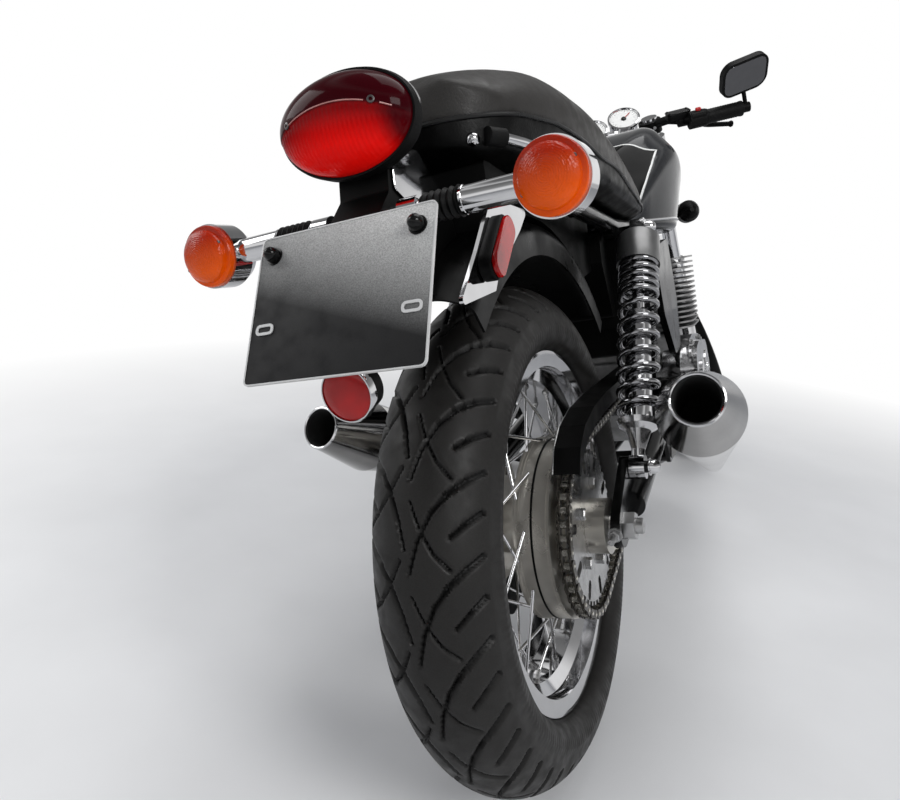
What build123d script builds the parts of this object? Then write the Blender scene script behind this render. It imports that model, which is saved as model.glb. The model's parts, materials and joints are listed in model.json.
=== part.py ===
from build123d import *

import os
from math import acos, atan2, cos, degrees, radians, sin, sqrt

# The motorcycle is drawn upright in millimetres: X to its right, Y forwards, Z up, the ground at
# z = 0 and the rear axle above y = 0. The steering group is drawn in its own frame, straight ahead:
# X to the right, Y ahead of the steering axis and Z up along it from where it meets the ground.
# At the end the whole is leaned over onto its side stand, with the steering on its left stop.

# Stance and main geometry
LEAN = 15.0
STEER_TURN = 28.0
WHEELBASE = 1477.0
RAKE = 27.0
TRAIL = 97.0
CLEAR = 0.3

# Rear wheel
REAR_R = 320.0
REAR_CROWN = 70.0
REAR_SHOULDER = 68.0
REAR_BEAD_R = 216.0
REAR_BEAD_X = 44.5
REAR_WELL_R = 195.0
REAR_AXLE_R = 10.0
HUB_R = 117.0
HUB_LEFT, HUB_RIGHT = 24.0, 68.0
SPROCKET_X = 84.5
SPROCKET_THICK = 7.0
SPROCKET_TIP_R = 98.5
SPROCKET_TEETH = 43
REAR_DISC_R = 127.5
REAR_DISC_X = -57.0
DISC_THICK = 5.0
SPOKE_R = 1.9

# Chain
CHAIN_PITCH_R = 108.75
CHAIN_FRONT_R = 45.7
CHAIN_HALF_HEIGHT = 7.5
CHAIN_WAIST = 5.0
CHAIN_HALF_WIDTH = 8.0
LINKS = 112
OUTPUT_Y, OUTPUT_Z = 640.0, 395.0

# Front wheel
FRONT_R = 319.0
FRONT_CROWN = 55.0
FRONT_SHOULDER = 66.0
FRONT_BEAD_R = 228.6
FRONT_BEAD_X = 32.0
FRONT_WELL_R = 210.0
FRONT_AXLE_R = 8.0
FRONT_DISC_R = 160.0
FRONT_DISC_X = -55.0

# Frame, swingarm and shocks
PIVOT_Y, PIVOT_Z = 545.0, 392.0
PIVOT_R = 22.0
PIVOT_END = 148.0
FRAME_X = 100.5
TUBE_R = 14.0
ARM_X = 126.0
ARM_R = 20.0
PLATE_IN, PLATE_OUT = 118.0, 130.0
SHOCK_X = 141.0
SHOCK_LOW = (70.0, 375.0)
SHOCK_TOP = (285.0, 690.0)
SHOCK_STUD_R = 8.0
SPRING_R = 30.0

# Steering group
FORK_X = 95.0
FORK_TUBE_R = 20.5
SLIDER_R = 27.0
SLIDER_TOP = 660.0
LOWER_YOKE = 820.0
UPPER_YOKE = 1015.0
YOKE_THICK = 24.0
STEM_R = 15.0
HEAD_R = 26.0

# Exhaust
EXHAUST_R = 19.0
SILENCER_IN = (185.0, 560.0, 238.0)
SILENCER_OUT = (240.7, -85.1, 491.7)
SILENCER_R = 51.0
CONE_LENGTH = 96.0
BORE_DEPTH = 130.0
OUTLET_R = 28.5

# Rear fender, tail and plate
FENDER_Y, FENDER_Z = -30.0, 347.0
FENDER_R = 368.0
SHEET = 2.5
BAR_Y, BAR_Z = -271.3, 714.0
INDICATOR_BACK = 14.0
INDICATOR_X = 176.5
INDICATOR_R = 30.0
LAMP_Y, LAMP_Z = -268.0, 797.0
LAMP_HALF_WIDTH, LAMP_HALF_HEIGHT = 67.0, 42.0
PLATE_SIZE = (178.0, 140.0)
PLATE_TILT = 27.87
PLATE_CENTRE = (0.0, -339.2, 651.5)

# Side stand
STAND_PIVOT = Vector(-92, 745, 202)
STAND_FOOT = (-275.0, 825.0)
STAND_R = 11.0
KNUCKLE = 12.0
PIN_R = 6.0
EAR = 7.0
FOOT_THICK = 8.0

REAR_AXLE = Vector(0, 0, REAR_R)
FRONT_OFFSET = FRONT_R * sin(radians(RAKE)) - TRAIL * cos(radians(RAKE))
FRONT_ALONG = FRONT_R * cos(radians(RAKE)) + TRAIL * sin(radians(RAKE))
FRONT_AXLE = Vector(0, FRONT_OFFSET, FRONT_ALONG)
RIGHT = Vector(1, 0, 0)

# Where the steering frame stands in the upright motorcycle, and the same turned to the left stop
STEER_DIR = Vector(0, -sin(radians(RAKE)), cos(radians(RAKE)))
HEAD_FRAME = Plane(origin=(0, WHEELBASE + TRAIL, 0), x_dir=(1, 0, 0), z_dir=STEER_DIR)
STEER = HEAD_FRAME.location * Rot(0, 0, STEER_TURN)


def spot(location, point):
    """A point carried by a location."""
    return (location * Pos(*point)).position


def way(location, direction):
    """A direction carried by a location."""
    return spot(location, direction) - location.position


def tyre_bottom(centre, axle, outer, crown):
    """Height of the lowest point of a tyre with a round crown."""
    return centre.Z - (outer - crown) * sqrt(1 - axle.Z ** 2) - crown


# The pitch at which both tyres touch the ground once the machine leans
pitch = 0.0
for _ in range(8):
    stance = Rot(0, -LEAN, 0) * Rot(pitch, 0, 0)
    rear_low = tyre_bottom(spot(stance, REAR_AXLE), way(stance, RIGHT), REAR_R, REAR_CROWN)
    front = stance * STEER
    front_low = tyre_bottom(spot(front, FRONT_AXLE), way(front, RIGHT), FRONT_R, FRONT_CROWN)
    pitch -= degrees((front_low - rear_low) / WHEELBASE)
POSTURE = Pos(0, 0, -rear_low) * stance

# The floor as the upright machine sees it
FLOOR_UP = way(POSTURE.inverse(), Vector(0, 0, 1))
FLOOR_POINT = spot(POSTURE.inverse(), Vector(0, 0, 0))


def floor_height(x, y):
    """Height of the floor over a point of the upright machine's ground."""
    rise = FLOOR_UP.X * (x - FLOOR_POINT.X) + FLOOR_UP.Y * (y - FLOOR_POINT.Y)
    return FLOOR_POINT.Z - rise / FLOOR_UP.Z


def rod(start, end, radius):
    """A round bar from one point to another."""
    run = Vector(*end) - Vector(*start)
    with BuildPart() as piece:
        with BuildSketch(Plane(origin=start, z_dir=run)):
            Circle(radius)
        extrude(amount=run.length)
    return piece.part


def bent_rod(points, bend, radius):
    """A round bar along straight runs joined by tangent bends."""
    with BuildPart() as piece:
        with BuildLine() as path:
            FilletPolyline(*points, radius=bend)
        with BuildSketch(Plane(origin=path.line @ 0, z_dir=path.line % 0)):
            Circle(radius)
        sweep(path=path.line)
    return piece.part


def turned(origin, direction, profile):
    """A turned piece from (distance along the axis, radius) corners."""
    along = Vector(*direction).normalized()
    side = Vector(0, 1, 0) if abs(along.Z) > 0.9 else Vector(0, 0, 1)
    with BuildPart() as piece:
        with BuildSketch(Plane(origin=origin, x_dir=along, z_dir=along.cross(side))):
            with BuildLine():
                Polyline(*profile, close=True)
            make_face()
        revolve(axis=Axis(origin, along))
    return piece.part


def hull_plate(x_low, x_high, circles):
    """A flat plate in the side view, wrapped round (y, z, radius) circles."""
    with BuildPart() as piece:
        with BuildSketch(Plane.YZ.offset(x_low)):
            for y, z, radius in circles:
                with Locations((y, z)):
                    Circle(radius)
            make_hull()
        extrude(amount=x_high - x_low)
    return piece.part


def side_plate(x_low, x_high, corners, bend):
    """A flat plate in the side view, with (y, z) corners rounded to one radius."""
    with BuildPart() as piece:
        with BuildSketch(Plane.YZ.offset(x_low)):
            with BuildLine():
                FilletPolyline(*corners, radius=bend, close=True)
            make_face()
        extrude(amount=x_high - x_low)
    return piece.part


def tyre(centre, outer, crown, shoulder, bead_r, bead_x, lip_r):
    """A hollow tyre on its bead seats, with a round crown."""
    turn = radians(shoulder)
    wall = 9.0
    with BuildPart() as piece:
        with BuildSketch(Plane(origin=centre, x_dir=(1, 0, 0), z_dir=(0, -1, 0))):
            middle = outer - crown
            edge = (crown * sin(turn), middle + crown * cos(turn))
            inner = ((crown - wall) * sin(turn), middle + (crown - wall) * cos(turn))
            bead_top = (bead_x + 5.5, lip_r + 1.5)
            bead_toe = (bead_x - 9, bead_r + CLEAR)
            waist = (edge[0] - 1, (edge[1] + bead_top[1]) / 2 + 3)
            bead_root = (bead_x - 9, lip_r + 6)
            inner_waist = (inner[0] - 5, (inner[1] + bead_root[1]) / 2)
            with BuildLine():
                ThreePointArc((0, outer), (crown * sin(turn / 2), middle + crown * cos(turn / 2)), edge)
                ThreePointArc(edge, waist, bead_top)
                Polyline(bead_top, (bead_x, lip_r + 1.5), (bead_x, bead_r + CLEAR), bead_toe, bead_root)
                ThreePointArc(bead_root, inner_waist, inner)
                ThreePointArc(
                    inner,
                    ((crown - wall) * sin(turn / 2), middle + (crown - wall) * cos(turn / 2)),
                    (0, outer - wall),
                )
                Line((0, outer - wall), (0, outer))
            make_face()
            mirror(about=Plane(origin=centre, z_dir=(1, 0, 0)))
        revolve(axis=Axis(centre, (1, 0, 0)))
    return piece.part


def rim_profile(bead_r, bead_x, well_r, lip_r):
    """Corners of a drop-centre rim, from the left lip to the right one and back."""
    half = [
        (0, well_r + 5), (bead_x * 0.32, well_r + 5), (bead_x * 0.55, bead_r), (bead_x + CLEAR, bead_r),
        (bead_x + CLEAR, lip_r), (bead_x + 5.5, lip_r), (bead_x + 5.5, lip_r - 4),
        (bead_x + 3.5, bead_r - 6), (bead_x * 0.67, bead_r - 7), (bead_x * 0.45, well_r), (0, well_r),
    ]
    return half + [(-x, radius) for x, radius in reversed(half[1:-1])]


def spokes(centre, count, rows, inner_r, outer_r, radius):
    """Wire spokes from just clear of the hub into the rim."""
    each = count // len(rows)
    with BuildPart() as piece:
        for hub_x, hub_r, rim_x, swing, first in rows:
            for number in range(each):
                at_rim = radians(first + number * 360 / each)
                at_hub = at_rim + radians(swing)
                start = centre + Vector(hub_x, hub_r * sin(at_hub), hub_r * cos(at_hub))
                end = centre + Vector(rim_x, outer_r * sin(at_rim), outer_r * cos(at_rim))
                reach = (end - start).normalized() * 6
                add(rod(start - reach, end + reach, radius))
        left, right = inner_r
        add(rod(centre - RIGHT * 60, centre, left + CLEAR), mode=Mode.SUBTRACT)
        add(rod(centre, centre + RIGHT * 60, right + CLEAR), mode=Mode.SUBTRACT)
        add(rod(centre - RIGHT * 60, centre + RIGHT * 60, outer_r + 2), mode=Mode.INTERSECT)
    return piece.part


# Rear wheel
REAR_LIP_R = REAR_BEAD_R + 14
with BuildPart() as rear_tyre:
    add(tyre(REAR_AXLE, REAR_R, REAR_CROWN, REAR_SHOULDER, REAR_BEAD_R, REAR_BEAD_X, REAR_LIP_R))

REAR_FLANGE_R = 72.0
with BuildPart() as rear_hub:
    add(turned(REAR_AXLE, RIGHT, [
        (REAR_DISC_X, REAR_AXLE_R + 0.5), (REAR_DISC_X, 64), (-51, 64), (-49, REAR_FLANGE_R),
        (-37, REAR_FLANGE_R), (-33, 36), (16, 36), (HUB_LEFT - 2, 90), (HUB_LEFT, HUB_R),
        (HUB_RIGHT, HUB_R - 2), (HUB_RIGHT, HUB_R - 12), (34, HUB_R - 14), (34, 62), (72, 62),
        (74, 72), (81, 72), (81, 35), (112, 35), (112, REAR_AXLE_R + 0.5),
    ]))
    with BuildSketch(Plane.YZ.offset(REAR_DISC_X - DISC_THICK)):
        with Locations((REAR_AXLE.Y, REAR_AXLE.Z)):
            Circle(REAR_DISC_R)
            Circle(34, mode=Mode.SUBTRACT)
            with PolarLocations(92, 6):
                Circle(12, mode=Mode.SUBTRACT)
    extrude(amount=DISC_THICK)

# Columns: x at the hub, hub radius, x at the rim, swing from the rim hole, first rim angle
REAR_SPOKE_ROWS = [
    (38.0, HUB_R, 12.0, 34.0, 0.0), (27.0, HUB_R, 5.0, -34.0, 18.0),
    (-48.0, REAR_FLANGE_R, -12.0, 54.0, 9.0), (-38.0, REAR_FLANGE_R, -5.0, -54.0, 27.0),
]
with BuildPart() as rear_rim:
    add(turned(REAR_AXLE, RIGHT, rim_profile(REAR_BEAD_R, REAR_BEAD_X, REAR_WELL_R, REAR_LIP_R)))
    add(spokes(REAR_AXLE, 40, REAR_SPOKE_ROWS, (REAR_FLANGE_R, HUB_R), REAR_WELL_R, SPOKE_R))

with BuildPart() as rear_sprocket:
    with BuildSketch(Plane.YZ.offset(SPROCKET_X - SPROCKET_THICK / 2)):
        with Locations((REAR_AXLE.Y, REAR_AXLE.Z)):
            Circle(SPROCKET_TIP_R - 5)
            with PolarLocations(SPROCKET_TIP_R - 6, SPROCKET_TEETH):
                Rectangle(12, 5)
            Circle(35 + CLEAR, mode=Mode.SUBTRACT)
            with PolarLocations(81, 10, 18):
                SlotOverall(24, 12, mode=Mode.SUBTRACT)
    extrude(amount=SPROCKET_THICK)

# Rear axle with its nuts, spacers and adjusters
NUT = 14.0
AXLE_END = PLATE_OUT + NUT + 8
with BuildPart() as rear_axle:
    add(rod((-AXLE_END, 0, REAR_R), (AXLE_END, 0, REAR_R), REAR_AXLE_R))
    for side in (-1, 1):
        with BuildSketch(Plane(origin=(side * PLATE_OUT, 0, REAR_R), z_dir=(side, 0, 0))):
            RegularPolygon(18, 6)
        extrude(amount=NUT)
    add(rod((112.5, 0, REAR_R), (PLATE_IN, 0, REAR_R), 15))

# Chain, a loop round both sprockets whose outside narrows between the pins
CHAIN_X = SPROCKET_X
chain_reach = Vector(OUTPUT_Y, OUTPUT_Z - REAR_R, 0)
chain_rise = degrees(atan2(chain_reach.Y, chain_reach.X))
chain_wrap = degrees(acos((CHAIN_PITCH_R - CHAIN_FRONT_R) / chain_reach.length))
with BuildPart() as chain:
    with BuildLine() as pitch_line:
        rear_arc = CenterArc((0, REAR_R), CHAIN_PITCH_R, chain_rise + chain_wrap, 360 - 2 * chain_wrap)
        front_arc = CenterArc((OUTPUT_Y, OUTPUT_Z), CHAIN_FRONT_R, chain_rise - chain_wrap, 2 * chain_wrap)
        Line(rear_arc @ 1, front_arc @ 0)
        Line(front_arc @ 1, rear_arc @ 0)
    loop = pitch_line.wires()[0]
    outside = []
    for half in range(2 * LINKS):
        along = loop.tangent_at(half / (2 * LINKS))
        reach = CHAIN_WAIST if half % 2 else CHAIN_HALF_HEIGHT
        outside.append(loop.position_at(half / (2 * LINKS)) + Vector(along.Y, -along.X, 0) * reach)
    with BuildSketch(Plane.YZ.offset(CHAIN_X - CHAIN_HALF_WIDTH)):
        Polygon(*[(point.X, point.Y) for point in outside], align=None)
        with BuildSketch(mode=Mode.SUBTRACT):
            with Locations((0, REAR_R)):
                Circle(CHAIN_PITCH_R - CHAIN_WAIST)
            with Locations((OUTPUT_Y, OUTPUT_Z)):
                Circle(CHAIN_FRONT_R - CHAIN_WAIST)
            make_hull()
    extrude(amount=2 * CHAIN_HALF_WIDTH)

# Columns: y, height of the guard's top, lower edge of its outer side
GUARD_LINE = [
    (-84, 416, 410), (-66, 442, 426), (-34, 461, 441), (20, 472, 450), (90, 476, 454), (470, 473, 452),
]
with BuildPart() as chain_guard:
    add(side_plate(74, 104, [(y, z) for y, z, _ in GUARD_LINE] + [
        (y, z - SHEET) for y, z, _ in reversed(GUARD_LINE)], 0.5))
    add(side_plate(104, 104 + SHEET, [(y, z) for y, z, _ in GUARD_LINE] + [
        (y + 3, low) for y, _, low in reversed(GUARD_LINE)], 2))
    add(rod((110, 300, 375.8), (110, 300, 465), 5))

# Rear brake calliper on its bracket, left of the disc
with BuildPart() as rear_calliper:
    add(hull_plate(-100, -46, [(52, 222, 26), (18, 206, 24)]))
    add(hull_plate(REAR_DISC_X - DISC_THICK - 5, REAR_DISC_X + 5, [(0, REAR_R, REAR_DISC_R + 5), (10, 330, 110)]),
        mode=Mode.SUBTRACT)
    add(hull_plate(-110, -100, [(0, REAR_R, 24), (52, 222, 22), (18, 206, 18)]))
    add(rod((-112, 0, REAR_R), (-98, 0, REAR_R), REAR_AXLE_R + CLEAR), mode=Mode.SUBTRACT)

# Swingarm: pivot tube, two round arms, cross tube and slotted axle plates with shock ears
with BuildPart() as swingarm:
    add(rod((-PIVOT_END, PIVOT_Y, PIVOT_Z), (PIVOT_END, PIVOT_Y, PIVOT_Z), PIVOT_R))
    add(rod((-ARM_X, 455, 380), (ARM_X, 455, 380), 18))
    for side in (-1, 1):
        add(rod((side * ARM_X, 62, 326), (side * ARM_X, PIVOT_Y, PIVOT_Z), ARM_R))
        low, high = sorted((side * PLATE_IN, side * PLATE_OUT))
        add(hull_plate(low, high, [(-4, REAR_R, 25), (SHOCK_LOW[0], SHOCK_LOW[1], 15), (104, 334, 23)]))
        add(rod((side * PLATE_IN, SHOCK_LOW[0], SHOCK_LOW[1]),
                (side * (SHOCK_X + 18), SHOCK_LOW[0], SHOCK_LOW[1]), SHOCK_STUD_R))
    with BuildSketch(Plane.YZ.offset(-ARM_X - 20)):
        with Locations((8, REAR_R)):
            SlotOverall(56, 2 * (REAR_AXLE_R + CLEAR), mode=Mode.ADD)
    extrude(amount=2 * (ARM_X + 20), mode=Mode.SUBTRACT)

# Shocks: turned damper bodies with an eye at each end, and the springs round them
shock_run = Vector(0, SHOCK_TOP[0] - SHOCK_LOW[0], SHOCK_TOP[1] - SHOCK_LOW[1])
SHOCK_LENGTH = shock_run.length
SPRING_LOW, SPRING_TOP = 64.0, SHOCK_LENGTH - 62
COILS = 11
with BuildPart() as shocks:
    for side in (-1, 1):
        foot = (side * SHOCK_X, SHOCK_LOW[0], SHOCK_LOW[1])
        head = (side * SHOCK_X, SHOCK_TOP[0], SHOCK_TOP[1])
        add(turned(foot, shock_run, [
            (12, 0), (12, 9), (24, 9), (50, 17), (SPRING_LOW - 8, 26), (SPRING_LOW - CLEAR, 29),
            (SPRING_LOW - CLEAR, 18), (SHOCK_LENGTH - 150, 18), (SHOCK_LENGTH - 150, 8),
            (SPRING_TOP + CLEAR, 8), (SPRING_TOP + CLEAR, 28), (SPRING_TOP + 6, 22),
            (SHOCK_LENGTH - 22, 20), (SHOCK_LENGTH - 16, 14), (SHOCK_LENGTH - 12, 12),
            (SHOCK_LENGTH - 12, 0),
        ]))
        for end in (foot, head):
            add(rod(Vector(*end) - RIGHT * 10, Vector(*end) + RIGHT * 10, 16))
            add(rod(Vector(*end) - RIGHT * 14, Vector(*end) + RIGHT * 14, SHOCK_STUD_R + CLEAR),
                mode=Mode.SUBTRACT)

with BuildPart() as shock_springs:
    coil_step = (SPRING_TOP - SPRING_LOW) / COILS
    for side in (-1, 1):
        outside = []
        for coil in range(COILS):
            start = SPRING_LOW + coil * coil_step
            outside += [
                (start, SPRING_R - 5), (start + coil_step * 0.3, SPRING_R),
                (start + coil_step * 0.7, SPRING_R),
            ]
        outside += [(SPRING_TOP, SPRING_R - 5), (SPRING_TOP, 19), (SPRING_LOW, 19)]
        add(turned((side * SHOCK_X, SHOCK_LOW[0], SHOCK_LOW[1]), shock_run, outside))

# Frame: head tube, backbone, cradle, seat rails, rear loop and the plates that hold the pivot
HEAD_LOW, HEAD_HIGH = LOWER_YOKE + YOKE_THICK + 6, UPPER_YOKE - 6
head_low = spot(HEAD_FRAME.location, (0, 0, HEAD_LOW))
head_high = spot(HEAD_FRAME.location, (0, 0, HEAD_HIGH))
CRADLE_X, CRADLE_Z = 60.0, 215.0
RAIL_R = 12.0
RAIL_Z = 702.0
LOOP_Y, LOOP_Z = -112.0, 738.0
with BuildPart() as frame:
    add(rod(head_low, head_high, HEAD_R))
    add(rod(spot(HEAD_FRAME.location, (0, 0, 935)), (0, 545, 698), 21))
    add(rod((-FRAME_X, 545, 698), (FRAME_X, 545, 698), 16))
    for side in (-1, 1):
        add(bent_rod([
            spot(HEAD_FRAME.location, (side * 10, -8, 905)), (side * 45, 1040, 480),
            (side * CRADLE_X, 1000, CRADLE_Z), (side * CRADLE_X, 660, CRADLE_Z), (side * FRAME_X, 592, 250),
        ], [120, 60, 40], TUBE_R))
        add(bent_rod([
            (side * FRAME_X, 565, RAIL_Z), (side * FRAME_X, 290, RAIL_Z), (side * 98, 0, 730),
            (side * 80, -118, 738),
        ], [200, 100], RAIL_R))
        low, high = sorted((side * (FRAME_X - 4), side * (FRAME_X + 4)))
        add(side_plate(low, high, [
            (620, 232), (570, 232), (515, 370), (515, 430), (540, 540), (530, 708), (580, 708), (575, 540),
            (585, 420), (605, 330),
        ], 8))
        add(rod((side * (FRAME_X - 12), SHOCK_TOP[0], SHOCK_TOP[1]),
                (side * (SHOCK_X + 18), SHOCK_TOP[0], SHOCK_TOP[1]), SHOCK_STUD_R))
    add(rod((-80, LOOP_Y, LOOP_Z), (80, LOOP_Y, LOOP_Z), RAIL_R - 2))
    add(rod((-FRAME_X, 600, 240), (FRAME_X, 600, 240), 13))
    add(rod((-110, PIVOT_Y, PIVOT_Z), (110, PIVOT_Y, PIVOT_Z), PIVOT_R + CLEAR), mode=Mode.SUBTRACT)
    add(rod(head_low - STEER_DIR * 40, head_high + STEER_DIR * 40, STEM_R + CLEAR), mode=Mode.SUBTRACT)

# Engine: crankcase with sump, polished side covers, finned barrels and head
CASE_X = 104.0
COVER_OUT = 160.0
BARREL_X = 150.0
BARREL_Y = (800.0, 970.0)
BARREL_Z = (470.0, 590.0)
HEAD_Z = 652.0
FIN_PITCH = 12.0
with BuildPart() as engine_cases:
    add(side_plate(-CASE_X, CASE_X, [
        (715, 252), (950, 252), (978, 320), (978, 440), (960, 470), (760, 470), (715, 440),
    ], 14))
    add(side_plate(-CASE_X + 16, 62, [
        (625, 300), (650, 262), (720, 252), (720, 470), (660, 470), (625, 440),
    ], 14))
    add(rod((60, OUTPUT_Y, OUTPUT_Z), (CHAIN_X + 4, OUTPUT_Y, OUTPUT_Z), 12))
    add(rod((CHAIN_X - 3, OUTPUT_Y, OUTPUT_Z), (CHAIN_X + 3, OUTPUT_Y, OUTPUT_Z),
            CHAIN_FRONT_R - CHAIN_WAIST - CLEAR))

with BuildPart() as engine_covers:
    for side, circles in (
        (1, [(800, 372, 92), (905, 372, 80), (760, 390, 70)]),
        (-1, [(905, 372, 88), (780, 372, 72)]),
    ):
        low, high = sorted((side * CASE_X, side * (COVER_OUT - 14)))
        add(hull_plate(low, high, circles))
        low, high = sorted((side * (COVER_OUT - 14), side * COVER_OUT))
        add(hull_plate(low, high, [(y, z, r - 16) for y, z, r in circles]))
    add(hull_plate(FRAME_X + 4 + CLEAR, 140, [(OUTPUT_Y, OUTPUT_Z, 58), (700, 385, 62)]))
    add(side_plate(-88, 88, [(815, HEAD_Z), (955, HEAD_Z), (930, HEAD_Z + 44), (840, HEAD_Z + 44)], 12))

with BuildPart() as cylinders:
    add(side_plate(-CASE_X + 10, CASE_X - 10, [
        (BARREL_Y[0] + 22, 470), (BARREL_Y[1] - 22, 470), (BARREL_Y[1] - 22, HEAD_Z), (BARREL_Y[0] + 22, HEAD_Z),
    ], 6))
    fins = int((HEAD_Z - 6 - BARREL_Z[0]) / FIN_PITCH)
    for fin in range(fins):
        with BuildSketch(Plane.XY.offset(BARREL_Z[0] + 8 + fin * FIN_PITCH)):
            with Locations((0, sum(BARREL_Y) / 2)):
                RectangleRounded(2 * BARREL_X, BARREL_Y[1] - BARREL_Y[0], 34)
        extrude(amount=4)

with BuildPart() as carburettors:
    for side in (-1, 1):
        add(turned((side * 58, 690, 560), (0, 1, 0), [
            (-22, 0), (-22, 27), (0, 30), (6, 34), (46, 34), (50, 26), (BARREL_Y[0] - CLEAR - 690, 24),
            (BARREL_Y[0] - CLEAR - 690, 0),
        ]))
        add(rod((side * 58, 716, 505), (side * 58, 716, 625), 24))

# Exhaust: bent header pipes and reverse-cone silencers, open at the end
silencer_run = Vector(*SILENCER_OUT) - Vector(*SILENCER_IN)
with BuildPart() as exhaust_headers:
    for side in (-1, 1):
        end = Vector(side * SILENCER_IN[0], SILENCER_IN[1], SILENCER_IN[2])
        run = Vector(side * silencer_run.X, silencer_run.Y, silencer_run.Z).normalized()
        add(bent_rod([
            (side * 92, BARREL_Y[1] + CLEAR, 618), (side * 92, 1078, 618), (side * 120, 1066, 300),
            (side * 142, 960, 206), end - run * 90, end - run * CLEAR,
        ], [70, 110, 70, 60], EXHAUST_R))

SILENCER_LENGTH = silencer_run.length
cone = SILENCER_LENGTH - CONE_LENGTH
with BuildPart() as silencers:
    for side in (-1, 1):
        start = Vector(side * SILENCER_IN[0], SILENCER_IN[1], SILENCER_IN[2])
        run = Vector(side * silencer_run.X, silencer_run.Y, silencer_run.Z)
        add(turned(start, run, [
            (0, 0), (0, EXHAUST_R + 4), (30, EXHAUST_R + 5), (cone, SILENCER_R), (SILENCER_LENGTH, OUTLET_R),
            (SILENCER_LENGTH, OUTLET_R - SHEET), (SILENCER_LENGTH - BORE_DEPTH, OUTLET_R - SHEET),
            (SILENCER_LENGTH - BORE_DEPTH, 0),
        ]))

# Sections across the tank, from the rear
# Columns: y, half width, half width of the flat top, bottom, shoulder, top, corner radius
TANK_SECTIONS = [
    (562, 84, 50, 716, 762, 800, 20), (690, 138, 86, 704, 826, 890, 40), (800, 161, 106, 700, 852, 928, 50),
    (900, 147, 68, 700, 812, 937, 44), (1000, 118, 40, 702, 800, 928, 34), (1080, 80, 34, 720, 800, 880, 22),
]
TANK_TUCK = 26.0


def body_loft(sections, tuck=0.0):
    """A body through sections with sloping shoulders, narrower at the bottom by the tuck on each side."""
    with BuildPart() as piece:
        for y, half_width, half_top, bottom, shoulder, top, bend in sections:
            with BuildSketch(Plane(origin=(0, y, 0), x_dir=(1, 0, 0), z_dir=(0, -1, 0))):
                with BuildLine():
                    FilletPolyline(
                        (tuck - half_width, bottom), (half_width - tuck, bottom), (half_width, shoulder), (half_top, top),
                        (-half_top, top), (-half_width, shoulder),
                        radius=[bend / 3, bend / 3, bend, bend, bend, bend], close=True,
                    )
                make_face()
        loft()
    return piece.part


CAP_Y, CAP_Z, CAP_R = 900.0, 925.0, 38.0
TUNNEL = 33.0
with BuildPart() as tank:
    add(body_loft(TANK_SECTIONS, TANK_TUCK))
    add(side_plate(-TUNNEL, TUNNEL, [(540, 690), (1130, 690), (1130, 880), (1040, 880), (540, 752)], 4),
        mode=Mode.SUBTRACT)
    add(rod((0, CAP_Y, CAP_Z - CLEAR), (0, CAP_Y, CAP_Z + 60), CAP_R + CLEAR), mode=Mode.SUBTRACT)

with BuildPart() as filler_cap:
    add(turned((0, CAP_Y, CAP_Z), (0, 0, 1), [
        (0, 0), (0, CAP_R), (14, CAP_R), (17, CAP_R - 5), (22, CAP_R - 7), (24, CAP_R - 12), (24, 0),
    ]))

# Sections across the seat, over the rails; columns as on the tank
SEAT_SECTIONS = [
    (-176, 86, 54, 776, 816, 846, 20), (-80, 110, 72, 766, 832, 870, 26), (30, 130, 92, 758, 832, 876, 28),
    (140, 138, 106, 748, 816, 860, 24), (260, 140, 114, 735, 786, 830, 18), (400, 136, 110, 723, 756, 797, 16),
    (548, 112, 76, 727, 748, 783, 12),
]
with BuildPart() as seat:
    add(body_loft(SEAT_SECTIONS))

# Side covers below the seat
with BuildPart() as side_covers:
    for side in (-1, 1):
        low, high = sorted((side * 128, side * 140))
        add(side_plate(low, high, [(430, 660), (610, 678), (655, 560), (640, 462), (560, 455), (470, 540)], 22))
        add(rod((side * (FRAME_X + 4), 556, 600), (side * 130, 556, 600), 7))

def fender_section(half, radius, skirt, drop, corner):
    """The thin section of a fender, over the wheel: (half width, radius, skirt depth, corner drop and run)."""
    edge, flat = half - SHEET, half - corner
    FilletPolyline((-half, radius - skirt), (-half, radius - drop), (-flat, radius), (flat, radius),
                   (half, radius - drop), (half, radius - skirt), radius=[18, 40, 40, 18])
    FilletPolyline((-edge, radius - skirt), (-edge, radius - drop - 1), (-flat, radius - SHEET),
                   (flat, radius - SHEET), (edge, radius - drop - 1), (edge, radius - skirt),
                   radius=[16, 38, 38, 16])
    Line((-half, radius - skirt), (-edge, radius - skirt))
    Line((half, radius - skirt), (edge, radius - skirt))


# Rear fender round the wheel, under the tray
FENDER_HALF = 78.0
FENDER_AXIS = Vector(0, FENDER_Y, FENDER_Z)
FENDER_FRONT, FENDER_REAR = 52.0, 38.0
with BuildPart() as rear_fender:
    with BuildSketch(Plane(origin=FENDER_AXIS, x_dir=(1, 0, 0), z_dir=(0, -1, 0)).rotated((-FENDER_FRONT, 0, 0))):
        with BuildLine():
            fender_section(FENDER_HALF, FENDER_R, 48, 14, 28)
        make_face()
    revolve(axis=Axis(FENDER_AXIS, (1, 0, 0)), revolution_arc=FENDER_FRONT + FENDER_REAR)

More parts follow.
